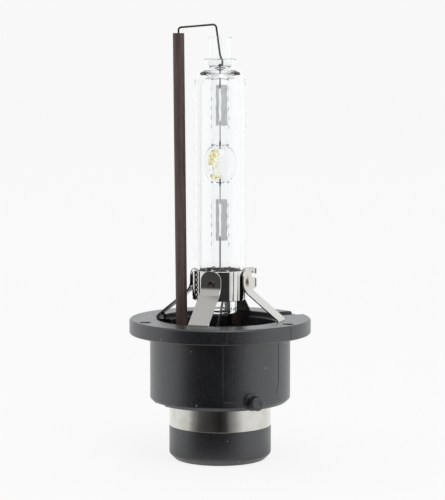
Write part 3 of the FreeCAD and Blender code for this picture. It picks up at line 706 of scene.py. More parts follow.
def tube_along(path: np.ndarray, radius: np.ndarray | float, sides: int = 20) -> np.ndarray:
    """Carries a circle along a path: each ring stands across the path's own direction, without twist.

    Args:
        path: The path's points.
        radius: One radius, or one for each point.
        sides: The number of points round the circle.

    Returns:
        Path points by circle points by three, with both ends closed to a point.
    """
    ahead = np.gradient(path, axis=0)
    ahead /= np.linalg.norm(ahead, axis=1)[:, None]
    guide = np.array([0.31, 0.95, 0.02])
    side = guide - (ahead @ guide)[:, None] * ahead
    side /= np.linalg.norm(side, axis=1)[:, None]
    other = np.cross(ahead, side)
    angle = 2 * np.pi * np.arange(sides) / sides
    ring = side[:, None] * np.cos(angle)[None, :, None] + other[:, None] * np.sin(angle)[None, :, None]
    rings = path[:, None] + ring * np.broadcast_to(radius, len(path))[:, None, None]
    caps = [np.repeat(path[i][None, None], sides, axis=1) for i in (0, -1)]
    return np.concatenate([caps[0], rings, caps[1]])[:, ::-1]


def upright(heights: np.ndarray) -> np.ndarray:
    """Returns the points on the lamp's axis at some heights."""
    return heights[:, None] * np.array([0.0, 0.0, 1.0])


def smooth_path(corners: list[tuple[float, float, float]], step: float) -> np.ndarray:
    """Rounds a path of (sideways, height, radius) corners and returns it as x, 0, z points."""
    flat = resampled(rounded(corners, steps=10), step)
    return np.stack([flat[:, 0], 0 * flat[:, 0], flat[:, 1]], axis=-1)


def plate(outline: np.ndarray, low: float, high: float) -> tuple[np.ndarray, np.ndarray]:
    """Gives an outline of x, z points a thickness along y.

    Args:
        outline: The outline, round which its inside lies on the left.
        low: The plate's lower y.
        high: Its upper y.

    Returns:
        The points and the faces as a list: two faces and the sides.
    """
    count = len(outline)
    near = np.stack([outline[:, 0], np.full(count, low), outline[:, 1]], axis=-1)
    far = np.stack([outline[:, 0], np.full(count, high), outline[:, 1]], axis=-1)
    order = np.arange(count)
    following = (order + 1) % count
    sides = np.stack([order, order + count, following + count, following], axis=-1)
    return np.vstack([near, far]), [*sides.tolist(), order.tolist(), (order[::-1] + count).tolist()]


def block(inner: float, outer: float, width: float, low: float, high: float, azimuth: float) -> tuple:
    """Makes a block that lies along an azimuth.

    Args:
        inner: Its inner radius.
        outer: Its outer radius.
        width: Its width.
        low: Its lower height.
        high: Its upper height.
        azimuth: The azimuth of its middle.

    Returns:
        The points and the faces.
    """
    outline = np.array([(inner, low), (outer, low), (outer, high), (inner, high)])
    points, faces = plate(outline, -width / 2, width / 2)
    return turned(points, azimuth), faces


def capped(rows: np.ndarray) -> np.ndarray:
    """Closes both ends of a band of closed profiles by drawing each end together in its middle.

    Args:
        rows: Profiles by points by three.

    Returns:
        The band with two profiles more.
    """
    first = np.repeat(rows[:1].mean(axis=1, keepdims=True), rows.shape[1], axis=1)
    last = np.repeat(rows[-1:].mean(axis=1, keepdims=True), rows.shape[1], axis=1)
    return np.concatenate([first, rows, last])


# the lamp's sub-assemblies

@dataclass
class BaseHousing:
    """The black moulded base: connector cup, barrel with two bayonet pins, and flange."""

    cup_bore: float = 6.5
    cup_web: float = 9.4
    cup_high: float = 6.0
    cup_radius: float = 8.95
    cup_chamfer: float = 1.05
    neck_radius: float = 8.5
    barrel_low: float = 10.2
    barrel_radius: float = 12.3
    barrel_chamfer: float = 0.7
    flange_low: float = 22.2
    flange_radius: float = 15.9
    mouth_radius: float = 11.1
    mouth_step: float = 0.9
    cavity_radius: float = 10.2
    cavity_floor: float = 13.0
    contact_radius: float = 1.15
    slot_width: float = 3.94
    slot_depth: float = 2.72
    slot_outer: float = 11.5
    keyway_azimuth: float = 27.6
    keyway_reach: float = 4.9
    keyway_width: float = 4.6
    keyway_depth: float = 0.47
    dimple_azimuth: float = 205.0
    dimple_inset: float = 1.7
    notch_azimuth: float = 206.0
    notch_span: float = 20.0
    notch_reach: float = 2.4
    notch_height: float = 0.3
    pin_azimuth: float = -63.5
    pin_high: float = 11.75
    seam_radius: float = 0.05
    seams: list = field(default_factory=lambda: [
        ("barrel_seam", 12.3, [(272.4, 22.0), (272.4, 11.9), (289.5, 11.75)]),
        ("barrel_side_seam", 12.3, [(325.3, 22.0), (325.3, 14.6), (323.0, 13.4), (323.0, 12.6)]),
        ("flange_seam", 15.9, [(274.3, 22.5), (274.3, 24.5)]),
        ("flange_side_seam", 15.9, [(319.6, 22.5), (319.6, 24.5)]),
    ])

    def make(self) -> None:
        """Makes the moulding, its two bayonet pins and the lines that the mould's joints left on it."""
        body = add_mesh("housing_body", *grid_faces(revolved(self.section(), 256), Closing.RING))
        cutters = [self.slot(FRONT_LEG_AZIMUTH + 90 * quarter) for quarter in range(4)]
        cutters += [self.keyway(), self.notch(), self.tongue_slot()]
        cutters += [self.dimple(self.dimple_azimuth + 120 * third) for third in range(3)]
        dress("housing_moulding", carved(body, cutters), Finish.PLASTIC, "base_housing", sharp=28.0)
        for side, azimuth in (("front", self.pin_azimuth), ("rear", self.pin_azimuth + 180)):
            self.make_pin(side, azimuth)
        for name, radius, corners in self.seams:
            self.make_seam(name, radius, np.array(corners, float))
        log.info("base housing: moulding, two pins and %d mould seams", len(self.seams))

    def section(self) -> np.ndarray:
        """Draws the base's turned section, from the web round the cup, barrel and flange to the cavity.

        Returns:
            The closed outline, as radius and height.
        """
        cup, barrel, flange = self.cup_radius, self.barrel_radius, self.flange_radius
        foot, under, step = self.barrel_low, self.flange_low, FLANGE_TOP - self.mouth_step
        return rounded([
            (self.contact_radius, self.cup_web, 0), (self.cup_bore, self.cup_web, 0.3),
            (self.cup_bore, 0, 0.2), (cup - self.cup_chamfer, 0, 0.5), (cup, self.cup_chamfer, 0.7),
            (cup, self.cup_high, 0.1), (self.neck_radius, self.cup_high, 0), (self.neck_radius, foot, 0),
            (barrel - self.barrel_chamfer, foot, 0.3), (barrel, foot + self.barrel_chamfer, 0.5),
            (barrel, under, 0.15), (flange - 0.2, under, 0.1), (flange, under + 0.2, 0.15),
            (flange, FLANGE_TOP - 0.25, 0.2), (flange - 0.25, FLANGE_TOP, 0.15),
            (self.mouth_radius, FLANGE_TOP, 0.12), (self.mouth_radius, step, 0.05),
            (self.cavity_radius, step, 0.1), (self.cavity_radius, self.cavity_floor, 0.5),
            (self.contact_radius, self.cavity_floor, 0)], closed=True, steps=5)

    def slot(self, azimuth: float) -> tuple:
        """Returns the cutter of one leg's slot in the mouth's wall."""
        inner, low = self.cavity_radius - 0.5, FLANGE_TOP - self.slot_depth
        return block(inner, self.slot_outer, self.slot_width, low, FLANGE_TOP + 1, azimuth)

    def keyway(self) -> tuple:
        """Returns the cutter of the flange's locating keyway."""
        inner, low = self.flange_radius - self.keyway_reach, FLANGE_TOP - self.keyway_depth
        return block(inner, self.flange_radius + 1, self.keyway_width, low, FLANGE_TOP + 1,
                     self.keyway_azimuth)

    def notch(self) -> tuple:
        """Makes the cutter of the shallow notch in the barrel's lower edge.

        Returns:
            Its points and its faces.
        """
        inner, outer = self.barrel_radius - self.notch_reach, self.barrel_radius + 1
        top = self.barrel_low + self.notch_height
        outline = np.array([(inner, 9.7), (outer, 9.7), (outer, top), (inner, top)])
        start = self.notch_azimuth - self.notch_span / 2
        return grid_faces(capped(revolved(outline, 24, start, self.notch_span)), Closing.TUBE)

    def tongue_slot(self) -> tuple:
        """Makes the cutter of the slot that the contact ring's tongue passes through.

        Returns:
            Its points and its faces.
        """
        inner, outer, top = self.neck_radius - 0.51, self.neck_radius + 0.06, self.cavity_floor + 0.06
        outline = np.array([(inner, 9.1), (outer, 9.1), (outer, top), (inner, top)])
        return grid_faces(capped(revolved(outline, 12, RETURN_AZIMUTH - 10, 20)), Closing.TUBE)

    def dimple(self, azimuth: float) -> tuple:
        """Makes the cutter of one dimple of the flange: a flat-bottomed disc with a round edge.

        Args:
            azimuth: The dimple's azimuth.

        Returns:
            Its points and its faces.
        """
        profile = rounded([(0, -0.2, 0), (1.0, -0.2, 0.12), (1.0, 0.5, 0), (0, 0.5, 0)], steps=4)
        disc = revolved(profile, 40) + np.array([self.flange_radius - self.dimple_inset, 0.0, FLANGE_TOP])
        return grid_faces(turned(disc, azimuth), Closing.BALL)

    def make_pin(self, side: str, azimuth: float) -> None:
        """Turns a bayonet pin with its low collar about its own axis, which stands out of the barrel.

        Args:
            side: The side that names the pin.
            azimuth: The pin's azimuth.
        """
        profile = rounded([
            (1.5, -0.6, 0), (1.5, 0.3, 0.15), (1.2, 0.3, 0.08), (1.2, 2.3, 0.2), (0.5, 2.3, 0.2),
            (0.45, 2.24, 0.1), (0, 2.24, 0)], steps=5)
        pin = revolved(profile, 64)
        points = np.stack([
            self.barrel_radius + pin[..., 2], pin[..., 0], self.pin_high + pin[..., 1]], axis=-1)
        add_surface(f"bayonet_pin_{side}", turned(points, azimuth), Closing.BALL, Finish.PLASTIC)

    def make_seam(self, name: str, radius: float, corners: np.ndarray) -> None:
        """Lays a thin half-round line on a cylinder, along points of (azimuth, height).

        Args:
            name: The seam's name.
            radius: The cylinder's radius.
            corners: The line's corners.
        """
        sides = [np.linspace(a, b, 24, endpoint=False) for a, b in zip(corners, corners[1:])]
        route = np.vstack(sides + [corners[-1:]])
        angle = np.radians(route[:, 0])
        path = np.stack([radius * np.cos(angle), radius * np.sin(angle), route[:, 1]], axis=-1)
        add_surface(name, tube_along(path, self.seam_radius, 8), Closing.TUBE, Finish.PLASTIC)


@dataclass
class ContactRing:
    """The outer contact ring, turned and plated, with a round lower edge and a tongue inside the base."""

    inner_radius: float = 8.5
    thickness: float = 0.45
    low: float = 6.0
    high: float = 10.2
    edge: float = 0.06
    floor_height: float = 13.0
    tongue_reach: float = 4.0
    tongue_span: float = 18.0

    def make(self) -> None:
        """Makes the ring and its tongue."""
        outer = self.inner_radius + self.thickness
        section = rounded([
            (self.inner_radius, self.low, 0), (outer - 0.02, self.low, self.edge), (outer, self.low + 0.5, 0),
            (outer, self.high, 0), (self.inner_radius, self.high, 0)], closed=True)
        add_surface("contact_ring_band", revolved(section, 192), Closing.RING, Finish.RING, "contact_ring")
        inner = self.inner_radius
        top = self.floor_height + self.thickness
        strip = rounded([
            (inner - self.thickness, self.high - 1, 0), (inner, self.high - 1, 0), (inner, top, 0.4),
            (inner - self.tongue_reach, top, 0), (inner - self.tongue_reach, self.floor_height, 0),
            (inner - self.thickness, self.floor_height, 0.05)], closed=True)
        tongue = capped(revolved(strip, 10, RETURN_AZIMUTH - self.tongue_span / 2, self.tongue_span))
        add_surface("contact_ring_tongue", tongue, Closing.TUBE, Finish.RING)
        log.info("contact ring: band and tongue")


@dataclass
class CentreContact:
    """The hollow centre contact in the connector cup."""

    def make(self) -> None:
        """Makes the contact from its CAD node, whose mesh is copied and merged."""
        mesh = merge(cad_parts["centre_contact"].data.copy())
        dress("centre_contact_pin", mesh, Finish.CONTACT, "centre_contact")
        log.info("centre contact: pin")


@dataclass
class ClampBand:
    """The bright strip rolled round the outer bulb: creased by its tool, lapped and clinched, with ears."""

    radius: float = 4.7
    thickness: float = 0.2
    low: float = 28.2
    high: float = 33.4
    ear_azimuth: float = 24.0
    ear_gap: float = 0.5
    ear_reach: float = 6.9
    clinch_azimuth: float = 201.0
    clinch_span: float = 38.0
    clinch_height: float = 0.16
    creases: tuple[float, ...] = (254.0, 298.5, 313.0, 333.0, 350.0, 40.0, 62.0, 85.0, 110.0, 140.0)
    flat_azimuth: float = 273.0
    flat_half: float = 17.0
    crease_depth: float = 0.08
    crease_half: float = 1.7
    press_depth: float = 0.085
    press_place: float = 0.62
    press_half: float = 0.16
    press_pitch: float = 0.86
    curl_radius: float = 0.24

    def creased(self, rows: np.ndarray) -> np.ndarray:
        """Presses a flat and shallow upright creases into a band.

        Each crease moves it in by a bell curve of the azimuth, and the flat by what a chord cuts off.

        Args:
            rows: The band's points, three coordinates each.

        Returns:
            The pressed points.
        """
        azimuth = np.degrees(np.arctan2(rows[..., 1], rows[..., 0]))
        away = (azimuth[..., None] - np.array(self.creases) + 180) % 360 - 180
        depth = (self.crease_depth * np.exp(-(away / self.crease_half) ** 2)).sum(axis=-1)
        aside = np.clip(np.abs((azimuth - self.flat_azimuth + 180) % 360 - 180), 0, self.flat_half)
        level = math.cos(math.radians(self.flat_half)) / np.cos(np.radians(aside))
        depth += self.radius * (1 - level)
        share = 1 - depth / np.hypot(rows[..., 0], rows[..., 1])
        return rows * np.stack([share, share, np.ones_like(share)], axis=-1)

    def strip(self, inner: float, outer: float, low: float, high: float) -> np.ndarray:
        """Returns the section of a strip with rolled edges."""
        return rounded([(inner, low, 0.06), (outer, low, 0.08), (outer, high, 0.08), (inner, high, 0.06)],
                       closed=True, steps=4)

    def make(self) -> None:
        """Makes the band, its clinched lap and its ears."""
        opening = math.degrees((self.ear_gap / 2 + self.thickness) / self.radius)
        section = self.strip(self.radius - self.thickness, self.radius, self.low, self.high)
        section = resampled_closed(section, 0.4)
        band = self.creased(revolved(section, 480, self.ear_azimuth + opening, 360 - 2 * opening))
        add_surface("clamp_band_strip", capped(band), Closing.TUBE, Finish.BAND, "clamp_band")
        lap = resampled_closed(self.strip(
            self.radius - 0.05, self.radius + self.clinch_height, self.low + 0.02, self.high - 0.02), 0.12)
        rows = revolved(lap, 90, self.clinch_azimuth - self.clinch_span / 2, self.clinch_span)
        across = np.linspace(-1, 1, rows.shape[0])[:, None]
        outside = np.hypot(rows[..., 0], rows[..., 1]) > self.radius + 0.02
        press = np.exp(-((np.abs(across) - self.press_place) / self.press_half) ** 2)
        press = press * (0.5 + 0.5 * np.cos(rows[..., 2] * 2 * np.pi / self.press_pitch)) ** 2
        share = 1 - self.press_depth * press * outside / self.radius
        rows = rows * np.stack([share, share, np.ones_like(share)], axis=-1)
        add_surface("clamp_band_lap", capped(rows), Closing.TUBE, Finish.BAND)
        for name, side in (("near", -1), ("far", 1)):
            self.make_ear(name, side)
        log.info("clamp band: strip, lap and two ears")

    def make_ear(self, name: str, side: int) -> None:
        """Makes one ear: a plate with a hooked strip at its top and a lug below, both curled at their tips.

        Args:
            name: The word that names the ear.
            side: 1 or -1, the side of the gap that the ear stands on.
        """
        root, reach, web = self.radius - self.thickness / 2, self.ear_reach, self.radius + 1.2
        outline = rounded([
            (root, self.low + 0.45, 0), (web, self.low + 1.35, 0.5), (reach, self.low + 1.8, 0.3),
            (reach, self.low + 3.5, 0.3), (web, self.low + 3.5, 0.2), (web, self.low + 4.7, 0.2),
            (reach - 0.75, self.low + 4.7, 0.15), (reach - 0.75, self.low + 4.15, 0.25),
            (reach, self.low + 4.15, 0.25), (reach, self.high, 0.25), (root, self.high, 0)],
            closed=True, steps=4)
        low = side * self.ear_gap / 2 + min(0, side) * self.thickness
        points, faces = plate(outline, low, low + self.thickness)
        mesh = add_mesh("ear", turned(points, self.ear_azimuth), faces)
        dress(f"clamp_band_ear_{name}", mesh, Finish.BAND)
        middle = low + self.thickness / 2
        for word, bottom, top in (
                ("top", self.low + 4.2, self.high - 0.1), ("lug", self.low + 1.9, self.low + 3.4)):
            heights = np.linspace(bottom, top, 8)
            path = np.stack([np.full(8, reach - 0.2), np.full(8, middle), heights], axis=-1)
            curl = turned(tube_along(path, self.curl_radius, 24), self.ear_azimuth)
            add_surface(f"clamp_band_{word}_curl_{name}", curl, Closing.TUBE, Finish.BAND)


@dataclass
class BentLeg:
    """One flat leg of rolled strip: a round-topped pad welded to the band, a slope and a foot in the base."""

    name: str
    node: str
    azimuth: float
    finish: Finish = Finish.STRIP
    width: float = 3.7
    thickness: float = 0.28
    edge: float = 0.07
    top: float = 33.5
    pad_height: float = 3.3
    pad_radius: float = 4.7
    foot_radius: float = 11.38
    foot_depth: float = 2.6
    pad_bend: float = 2.7
    foot_bend: float = 0.84
    knee_rise: float = 0.18
    corner: float = 1.6
    weld_drop: float = 2.35

    def centre_line(self) -> np.ndarray:
        """Draws the strip's middle line from its top end to its foot.

        Returns:
            The line's points, as radius and height.
        """
        half = self.thickness / 2
        knee = FLANGE_TOP + self.knee_rise
        pad, foot = self.pad_radius + half, self.foot_radius - half
        return rounded([
            (pad, self.top, 0), (pad, self.top - self.pad_height - 0.1, self.pad_bend),
            (foot, knee, self.foot_bend), (foot, FLANGE_TOP - self.foot_depth, 0)], steps=12)

    def make(self) -> None:
        """Carries the strip's rounded section along its middle line, narrowed to a round end at its top."""
        line = self.centre_line()
        start = self.corner * (1 - np.cos(np.linspace(0, np.pi / 2, 14)))
        rim = np.stack([np.full(14, line[0, 0]), self.top - start], axis=-1)
        line = np.vstack([rim, resampled(np.vstack([rim[-1:], line[1:]]), 0.25)[1:]])
        along = np.concatenate([[0], np.cumsum(np.linalg.norm(np.diff(line, axis=0), axis=1))])
        short = np.clip(self.corner - along, 0, None)
        inset = self.corner - np.sqrt(np.clip(self.corner ** 2 - short ** 2, 0, None))
        half_width = self.width / 2 - inset
        ahead = np.gradient(line, axis=0)
        ahead /= np.linalg.norm(ahead, axis=1)[:, None]
        out = np.stack([-ahead[:, 1], ahead[:, 0]], axis=-1)
        half, edge = self.thickness / 2, self.edge
        section = rounded([
            (-1, -half, edge), (-0.85, -half, 0), (0.85, -half, 0), (1, -half, edge),
            (1, half, edge), (0.85, half, 0), (-0.85, half, 0), (-1, half, edge)], closed=True, steps=3)
        side = np.sign(section[:, 0]) * (1 - np.abs(section[:, 0]))
        across = np.sign(section[:, 0])[None] * half_width[:, None] - side[None]
        rise = section[:, 1][None]
        points = np.stack([line[:, None, 0] + out[:, None, 0] * rise, across,
                           line[:, None, 1] + out[:, None, 1] * rise], axis=-1)
        strip_map = np.stack([np.broadcast_to(along[:, None], across.shape), across], axis=-1)
        points = capped(points)
        strip_map = np.concatenate([strip_map[:1], strip_map, strip_map[-1:]])
        points = turned(points, self.azimuth)
        add_surface(self.name, points, Closing.TUBE, self.finish, self.node, strip_map=strip_map)
        self.make_weld()
        log.info("%s: strip and spot weld", self.name)

    def make_weld(self) -> None:
        """Makes the spot weld on the pad: a low ring round a shallow crater, turned about its own axis."""
        profile = rounded([
            (0, 0.03, 0), (0.28, 0.0, 0.1), (0.44, 0.1, 0.08), (0.64, 0.08, 0.1), (0.8, -0.02, 0)], steps=5)
        disc = revolved(profile[::-1], 48)
        face = self.pad_radius + self.thickness
        height = self.top - self.weld_drop
        points = np.stack([face + disc[..., 2], disc[..., 0], height + disc[..., 1]], axis=-1)
        add_surface(self.name + "_weld", turned(points, self.azimuth), Closing.BALL, Finish.WELD)


@dataclass
class OuterBulb:
    """The outer bulb: a drawn tube, sealed on the arc tube at its foot and by a narrower neck at its top."""

    radius: float = 4.45
    wall: float = 0.85
    round_reach: float = 1.5
    shoulder: float = 2.4
    lining_reach: float = 1.25
    lining_drop: float = 1.9
    roof: float = 0.9
    low: float = 29.5
    high: float = 68.0
    neck_radius: float = 2.77
    neck_high: float = 70.1
    fit: float = 2.02
    foot_fit: float = 2.92

    def make(self) -> None:
        """Turns the bulb's closed section."""
        inner = self.radius - self.wall
        turn = np.linspace(0, np.pi / 2, 19)
        shoulder = [(self.radius - self.round_reach * (1 - math.cos(a)),
                     self.high - self.shoulder * (1 - math.sin(a)), 0) for a in turn]
        lining = [(inner - self.lining_reach * (1 - math.cos(a)),
                   self.high - self.roof - self.lining_drop * (1 - math.sin(a)), 0) for a in turn[::-1]]
        section = rounded([
            (self.foot_fit, self.low, 0.15), (self.radius, self.low, 0.4), *shoulder,
            (self.neck_radius, self.high, 0.5), (self.neck_radius, self.neck_high, 0.35),
            (self.fit, self.neck_high, 0.2), (self.fit, self.high - self.roof, 0.3), *lining,
            (inner, self.low + self.wall, 0.9),
            (self.foot_fit, self.low + self.wall, 0.2)], closed=True, steps=8)
        add_surface("outer_bulb_glass", revolved(section, 144), Closing.RING, Finish.BULB_GLASS, "outer_bulb",
                    sharp=50)
        log.info("outer bulb: glass")


@dataclass
class ArcTube:
    """The arc tube: open tail, pinched shanks, a swollen chamber with its hollow, and an open top."""

    chamber_radius: float = 2.9
    chamber_half: float = 3.575
    shank_radius: float = 1.5
    hollow_radius: float = 1.35
    hollow_half: float = 3.3
    tail_radius: float = 2.9
    tail_bore: float = 2.1
    tail_low: float = 25.8
    top_radius: float = 2.0
    top_bore: float = 1.4
    top_high: float = 73.8
    well: float = 68.2
    pinch_spans: tuple = (("lower", 37.2, 46.2), ("upper", 58.0, 66.2))
    pinch_sides: tuple = (("left", 183.0), ("right", -4.0))

    def swelling(self, heights: np.ndarray) -> np.ndarray:
        """Joins the chamber's ellipse and the shank by their eighth-power sum, which rounds where they meet.

        Args:
            heights: The heights above the base's foot.

        Returns:
            The glass's radius at each height.
        """
        share = np.clip(1 - ((heights - LIGHT_CENTRE) / self.chamber_half) ** 2, 0, None)
        ellipse = self.chamber_radius * np.sqrt(share)
        return (ellipse ** 8 + self.shank_radius ** 8) ** 0.125

    def make(self) -> None:
        """Turns the glass and its hollow as two meshes, with the hollow's faces towards its gas."""
        foot = rounded([
            (0, 31.9, 0), (self.tail_bore, 31.8, 1.6), (self.tail_bore, self.tail_low, 0.25),
            (self.tail_radius, self.tail_low, 0.3), (self.tail_radius, 30.0, 1.5),
            (self.shank_radius, 33.2, 2.0), (self.shank_radius, 46.0, 0)], steps=8)
        heights = np.linspace(46.5, 57.3, 90)
        middle = np.stack([self.swelling(heights), heights], axis=-1)
        head = rounded([
            (self.shank_radius, 57.8, 0), (self.shank_radius, 66.8, 1.0), (self.top_radius, self.well, 1.0),
            (self.top_radius, self.top_high, 0.2), (self.top_bore, self.top_high, 0.2),
            (self.top_bore, self.well + 0.3, 0.7), (0, self.well, 0)], steps=8)
        outside = revolved(np.vstack([foot, middle, head]), 128)
        turn = np.linspace(0, np.pi, 49)
        hollow = np.stack([self.hollow_radius * np.sin(turn) ** 0.8,
                           LIGHT_CENTRE + self.hollow_half * np.cos(turn)], axis=-1)
        inside = revolved(hollow, 96)
        add_surface("arc_tube_glass", outside, Closing.BALL, Finish.TUBE_GLASS, "arc_tube", sharp=60)
        add_surface("arc_tube_hollow", inside, Closing.BALL, Finish.TUBE_GLASS, sharp=80)
        for word, low, high in self.pinch_spans:
            for side, azimuth in self.pinch_sides:
                self.make_ridge(f"pinch_ridge_{word}_{side}", azimuth, low, high)
        log.info("arc tube: glass, hollow and four pinch ridges")

    def make_ridge(self, name: str, azimuth: float, low: float, high: float) -> None:
        """Makes a thin wavy ridge of glass that the pinching jaws left along the shank.

        Args:
            name: The ridge's name.
            azimuth: Its azimuth.
            low: The height of its foot.
            high: The height of its top.
        """
        height = np.linspace(low, high, 60)
        sway = np.radians(azimuth + 5 * np.sin(height * 2.1 + azimuth) + 2.5 * np.sin(height * 5.3))
        radius = self.shank_radius - 0.02 + 0.05 * np.sin(height * 3.7)
        path = np.stack([radius * np.cos(sway), radius * np.sin(sway), height], axis=-1)
        thick = 0.06 * (0.6 + 0.4 * np.sin(height * 4.3 + azimuth)) * np.clip((high - height) * 3, 0.2, 1)
        # The ridge's grey glass is painted shade, which draws it as a dark line.
        add_surface(name, tube_along(path, thick, 10), Closing.TUBE, Finish.PINCH_EDGE)


@dataclass
class SealedPieces:
    """What the arc tube holds: electrodes, sealing foils, leads and salts."""

    electrode_radius: float = 0.15
    electrode_gap: float = 4.2
    foil_width: float = 1.36
    foil_length: float = 7.25
    upper_foil_low: float = 58.5
    lower_foil_low: float = 38.45
    overlap: float = 0.8
    lead_radius: float = 0.22
    lead_slim: float = 0.45
    salt_sink: float = 0.16
    salt_flatness: float = 0.5
    salts: tuple[tuple[float, float, float], ...] = (
        (200, 1.1, 0.62), (222, 1.7, 0.5), (186, 0.2, 0.5), (212, 0.5, 0.55), (232, 1.0, 0.45),
        (245, -0.4, 0.22), (175, 1.3, 0.4), (240, 1.9, 0.34), (205, -1.8, 0.5), (226, -2.0, 0.36),
        (250, 0.1, 0.2), (190, -0.7, 0.34), (262, -1.2, 0.3), (258, 1.5, 0.3), (268, -1.9, 0.26))

    def make(self) -> None:
        """Makes each sealed piece in its place on the axis."""
        tip = self.electrode_gap / 2
        low = self.upper_foil_low + self.overlap
        self.make_rod("upper_electrode_rod", "upper_electrode", LIGHT_CENTRE + tip, low)
        high = self.lower_foil_low + self.foil_length - self.overlap
        self.make_rod("lower_electrode_rod", "lower_electrode", LIGHT_CENTRE - tip, high)
        self.make_foil("upper_foil_leaf", "upper_foil", self.upper_foil_low)
        self.make_foil("lower_foil_leaf", "lower_foil", self.lower_foil_low)
        low = self.upper_foil_low + self.foil_length - self.overlap
        path = upright(np.linspace(low, LEAD_TOP, 8))
        slim = self.lead_radius * np.clip(self.lead_slim + (path[:, 2] - 68.0) / 1.5, self.lead_slim, 1)
        add_surface("upper_lead_wire", tube_along(path, slim), Closing.TUBE, Finish.LEAD, "upper_lead")
        self.make_lower_lead()
        self.make_salts()
        log.info("sealed pieces: electrodes, foils, leads and salts")

    def make_rod(self, name: str, node: str, tip: float, root: float) -> None:
        """Makes an electrode: a rod with a rounded tip, slimmer where it runs in the glass.

        Args:
            name: The rod's name.
            node: The CAD node that it stands for.
            tip: The height of its tip.
            root: The height of its other end.
        """
        heights = np.linspace(root, tip, 40)
        away = np.abs(heights - tip)
        slim = 1 - 0.65 * np.clip((away - 1.2) / 0.8, 0, 1)
        radius = self.electrode_radius * slim * np.sqrt(np.clip(away / 0.12, 0, 1))
        add_surface(name, tube_along(upright(heights), radius, 16), Closing.TUBE, Finish.TUNGSTEN, node)

    def make_foil(self, name: str, node: str, low: float) -> None:
        """Makes a foil's two leaves: thin lens-shaped sections carried upwards, folded back, ragged outside.
        The gap between them lets the bright background through as a pale line down the foil's middle: a
        painted highlight, where the real foil is one sheet.

        Args:
            name: The leaves' name.
            node: The CAD node that they stand for.
            low: The height of the foil's foot.
        """
        share = np.linspace(0, 1, 15)
        section = np.concatenate([share, share[::-1][1:-1]])
        thick = 0.03 * np.sqrt(np.clip(1 - (2 * section - 1) ** 2, 0, 1))
        thick[15:] *= -1
        heights = np.linspace(low, low + self.foil_length, 60)[:, None]
        for side, word, reach in ((-1, "left", 0.32), (1, "right", 0.52)):
            ragged = 1 + 0.04 * np.sin(heights * 3.1 + side) + 0.02 * np.sin(heights * 9.7 + side * 2)
            # The inner edges keep about 0.1 mm off the middle: this gap is the painted highlight.
            inner = 0.1 + 0.03 * np.sin(heights * 2.3 + side)
            across = inner + (self.foil_width * reach * ragged - inner) * section[None]
            y = self.lead_radius + thick[None] + 0.5 * across ** 1.1 + 0.02 * np.sin(heights * 3.3)
            points = np.stack([side * across, y, heights + 0 * across], axis=-1)
            points = capped(points)[:, ::-side]
            nodes = (node,) if side < 0 else ()
            add_surface(f"{name}_{word}", points, Closing.TUBE, Finish.FOIL, *nodes)

    def make_lower_lead(self) -> None:
        """Makes the lower lead: down the seal, in a slack wave across the open tail and into the contact."""
        path = smooth_path([
            (0, self.lower_foil_low + self.overlap, 0), (0, 31.15, 0.9), (0.65, 28.8, 1.2),
            (-0.65, 21.8, 2.0), (0, 15.2, 1.5), (0, 13.0, 0)], 0.25)
        slim = self.lead_radius * np.clip(1.0 - (path[:, 2] - 32.0) / 2.5, self.lead_slim, 1)
        add_surface("lower_lead_wire", tube_along(path, slim), Closing.TUBE, Finish.LEAD, "lower_lead")

    def make_salts(self) -> None:
        """Makes the salts: flat drops on the chamber's wall, each a ball whose radius follows slow waves.

        Each has an azimuth, a rise above the light centre and a size.
        """
        u = np.linspace(0, 2 * np.pi, 20, endpoint=False)[:, None]
        v = np.linspace(0, np.pi, 13)[None]
        for number, (azimuth, rise, size) in enumerate(self.salts):
            wave = 1 + 0.18 * np.sin(3 * u + number) * np.sin(v) + 0.12 * np.sin(5 * v + 2 * number)
            wall = ArcTube.hollow_radius * (1 - (rise / ArcTube.hollow_half) ** 2) ** 0.4 - self.salt_sink
            drop = turned(np.stack([
                wall - size * self.salt_flatness * np.sin(v) * np.cos(u) * wave,
                size * np.sin(v) * np.sin(u) * wave,
                LIGHT_CENTRE + rise + size * np.cos(v) * wave], axis=-1), azimuth)
            nodes = () if number else ("halide_salts",)
            add_surface(f"halide_salt_drop_{number + 1}", drop, Closing.BALL, Finish.SALT, *nodes, sharp=60)


